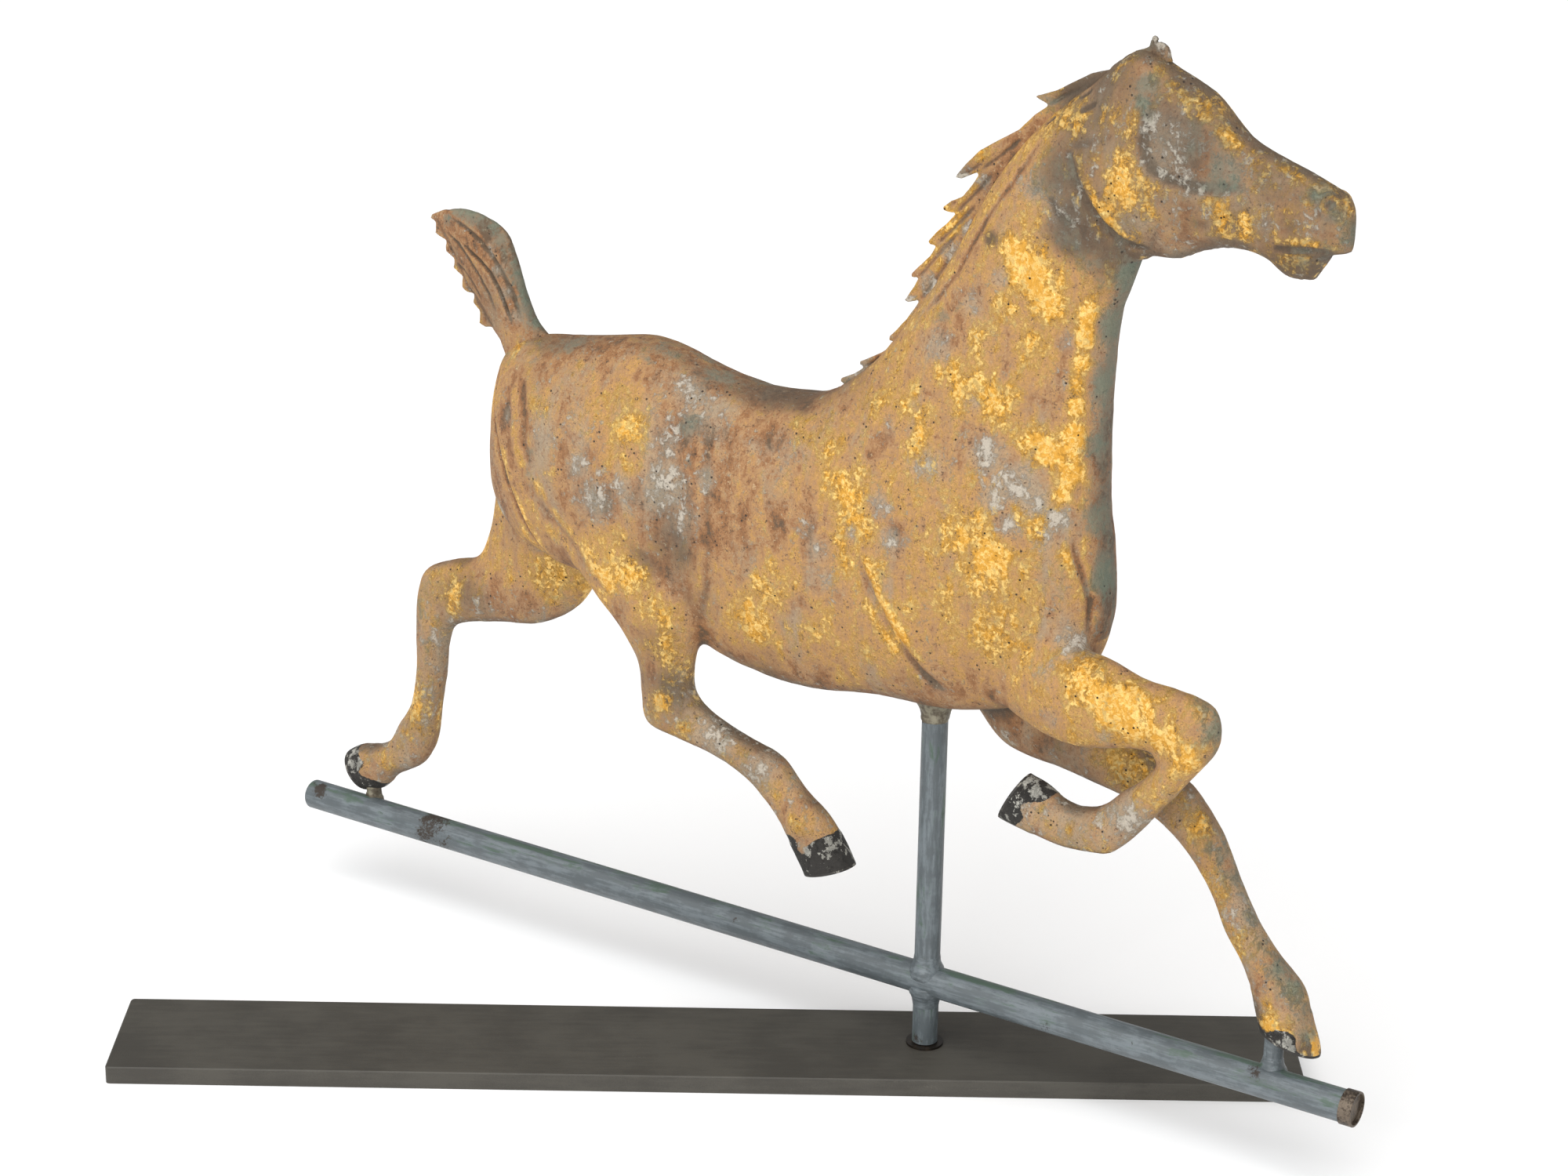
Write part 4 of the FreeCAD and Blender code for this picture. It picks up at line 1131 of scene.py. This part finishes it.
# ----------------------------------------
# The front cap: bare copper pressed over the bar's end, browned, its rim turned and its flat
# disc set back.
# ----------------------------------------
CAP_BROWN, CAP_GREY, CAP_RUBBED = "#3B322A", "#75695C", "#A79A8A"
bare, tree, spot = material_named("browned_bare_copper_cap")
skin = add(tree, "TexNoise", {"Vector": spot, "Scale": 130.0, "Detail": 8.0, "Roughness": 0.7})
fine = add(tree, "TexNoise", {"Vector": spot, "Scale": 700.0, "Detail": 4.0, "Roughness": 0.7})
ground = coat(tree, CAP_BROWN, CAP_GREY, ragged(tree, 0.38, 0.62, skin, (fine, 0.7)))
ground = coat(tree, ground, CAP_RUBBED, ragged(tree, 0.68, 0.80, skin, (fine, 0.7)))
surfaced(tree, mixed(tree, skin, (fine, 0.7)), 0.0005, 0.7,
         {"Base Color": ground, "Metallic": 0.7, "Roughness": mixed(tree, skin, (fine, 0.4))})
dressed("bar_front_cap", bare)

# ----------------------------------------
# The stand: a length of hot-rolled flat steel bar, 102 by 13 mm, blacked and waxed. A turned
# steel rod with a sharp point is screwed into it through a dark washer.
# ----------------------------------------
STEEL_BLACK, WAX_GREY, SCUFF_GREY, RUST_BROWN = "#3A3731", "#48453E", "#6B675F", "#5A3527"
blacked, tree, spot = material_named("waxed_blacked_steel")
mill = add(tree, "Mapping", {"Vector": spot, "Scale": (0.12, 1.0, 1.0)})
rolled, cloud, grain, scuff, rusty = (
    add(tree, "TexNoise", {"Vector": way, "Scale": scale, "Detail": detail, "Roughness": rough})
    for way, scale, detail, rough in (
        (mill, 260.0, 6.0, 0.6), (spot, 14.0, 6.0, 0.6), (spot, 1100.0, 3.0, 0.7), (mill, 60.0, 8.0, 0.75),
        (spot, 38.0, 6.0, 0.6)))
tone = mixed(tree, cloud, (rolled, 0.5), (grain, 0.5))
ground = coat(tree, STEEL_BLACK, WAX_GREY, ragged(tree, 0.30, 0.70, tone))
ground = coat(tree, ground, SCUFF_GREY, ragged(tree, 0.68, 0.76, scuff, (grain, 0.4)), 0.5)
ground = coat(tree, ground, RUST_BROWN, ragged(tree, 0.735, 0.76, rusty))
rough = add(tree, "MapRange", {"Value": tone, "To Min": 0.50, "To Max": 0.66})
surfaced(tree, mixed(tree, rolled, (grain, 0.7)), 0.00025, 0.5,
         {"Base Color": ground, "Roughness": rough, "Metallic": 0.1})
dressed("base_plate", blacked)


def turned_metal(name, dull, bright, metallic, roughness):
    """Lathe-turned metal: fine rings round the upright axis, with a trace of tarnish."""
    made, tree, spot = material_named(name)
    rings = add(tree, "Mapping", {"Vector": spot, "Scale": (0.05, 0.05, 1.0)})
    line = add(tree, "TexNoise", {"Vector": rings, "Scale": 900.0, "Detail": 3.0})
    tarnish = add(tree, "TexNoise", {"Vector": spot, "Scale": 110.0, "Detail": 7.0, "Roughness": 0.7})
    ground = coat(tree, dull, bright, ragged(tree, 0.44, 0.66, tarnish))
    dulled = 0.175
    rough = add(tree, "MapRange",
                {"Value": tarnish, "To Min": roughness - dulled, "To Max": roughness + dulled})
    surfaced(tree, line, 0.00015, 0.4, {"Base Color": ground, "Metallic": metallic, "Roughness": rough})
    return made


turned_steel = turned_metal("turned_bright_steel", "#8C8A86", "#B9B7B2", 1.0, 0.34)
oiled_steel = turned_metal("dark_oiled_steel", "#1F1A15", "#3A3026", 0.4, 0.40)
bearing_bronze = turned_metal("plain_bearing_bronze", "#7D5A33", "#A98250", 1.0, 0.42)
for name, material in (("spindle_rod", turned_steel), ("pivot_cup", turned_steel),
                       ("foot_washer", oiled_steel), ("lower_bush", bearing_bronze),
                       ("saddle_plate", bearing_bronze)):
    dressed(name, material)

# ----------------------------------------
# The studio: a pale floor, soft lights and the camera.
# ----------------------------------------
picked()
bpy.ops.mesh.primitive_plane_add(size=30, location=(0, 0, 0))
floor = bpy.context.object
floor.name = "floor"
# Plain matt paper, with no pattern.
white, tree = material_named("pale_paper_floor")[:2]
paper = add(tree, "BsdfPrincipled", {"Base Color": (0.96, 0.96, 0.96, 1), "Roughness": 0.9})
add(tree, "OutputMaterial", {0: paper})
floor.data.materials.append(white)

world = bpy.data.worlds.new("studio")
bpy.context.scene.world = world
world.use_nodes = True
world.node_tree.nodes["Background"].inputs["Color"].default_value = (1, 1, 1, 1)
world.node_tree.nodes["Background"].inputs["Strength"].default_value = 0.36


def lamp(name, kind, power, aim):
    """A light that shines along aim."""
    light = bpy.data.lights.new(name, kind)
    light.energy = power
    holder = bpy.data.objects.new(name, light)
    bpy.context.scene.collection.objects.link(holder)
    holder.rotation_euler = Vector(aim).to_track_quat("-Z", "Y").to_euler()
    return holder


# Light from a wide window behind the camera, and one softbox that models the horse's round side.
WINDOW_AIM, WINDOW_POWER, WINDOW_SPREAD = (0.28, 0.45, -0.85), 2.9, math.radians(85)
window = lamp("window_light", "SUN", WINDOW_POWER, WINDOW_AIM)
window.data.angle = WINDOW_SPREAD
SOFTBOX_PLACE, SOFTBOX_TARGET, SOFTBOX_WATTS = Vector((-1.1, -2.3, 1.1)), Vector((-0.05, 0, 0.38)), 21
softbox = lamp("key_softbox", "AREA", SOFTBOX_WATTS, SOFTBOX_TARGET - SOFTBOX_PLACE)
softbox.location = SOFTBOX_PLACE
softbox.data.shape = "RECTANGLE"
softbox.data.size, softbox.data.size_y = 1.5, 1.1

EYE = (-0.1035, -2.1475, 1.1676)
PITCH_DOWN = 0.3632
ROLL = 0.0159
LENS = 79.2
camera = bpy.data.cameras.new("camera")
camera.lens = LENS
camera.sensor_width = 36
viewer = bpy.data.objects.new("camera", camera)
bpy.context.scene.collection.objects.link(viewer)
viewer.matrix_world = (Matrix.Translation(EYE) @ Matrix.Rotation(math.pi / 2 - PITCH_DOWN, 4, "X")
                       @ Matrix.Rotation(ROLL, 4, "Z"))
bpy.context.scene.camera = viewer
bpy.context.scene.view_settings.view_transform = "Standard"
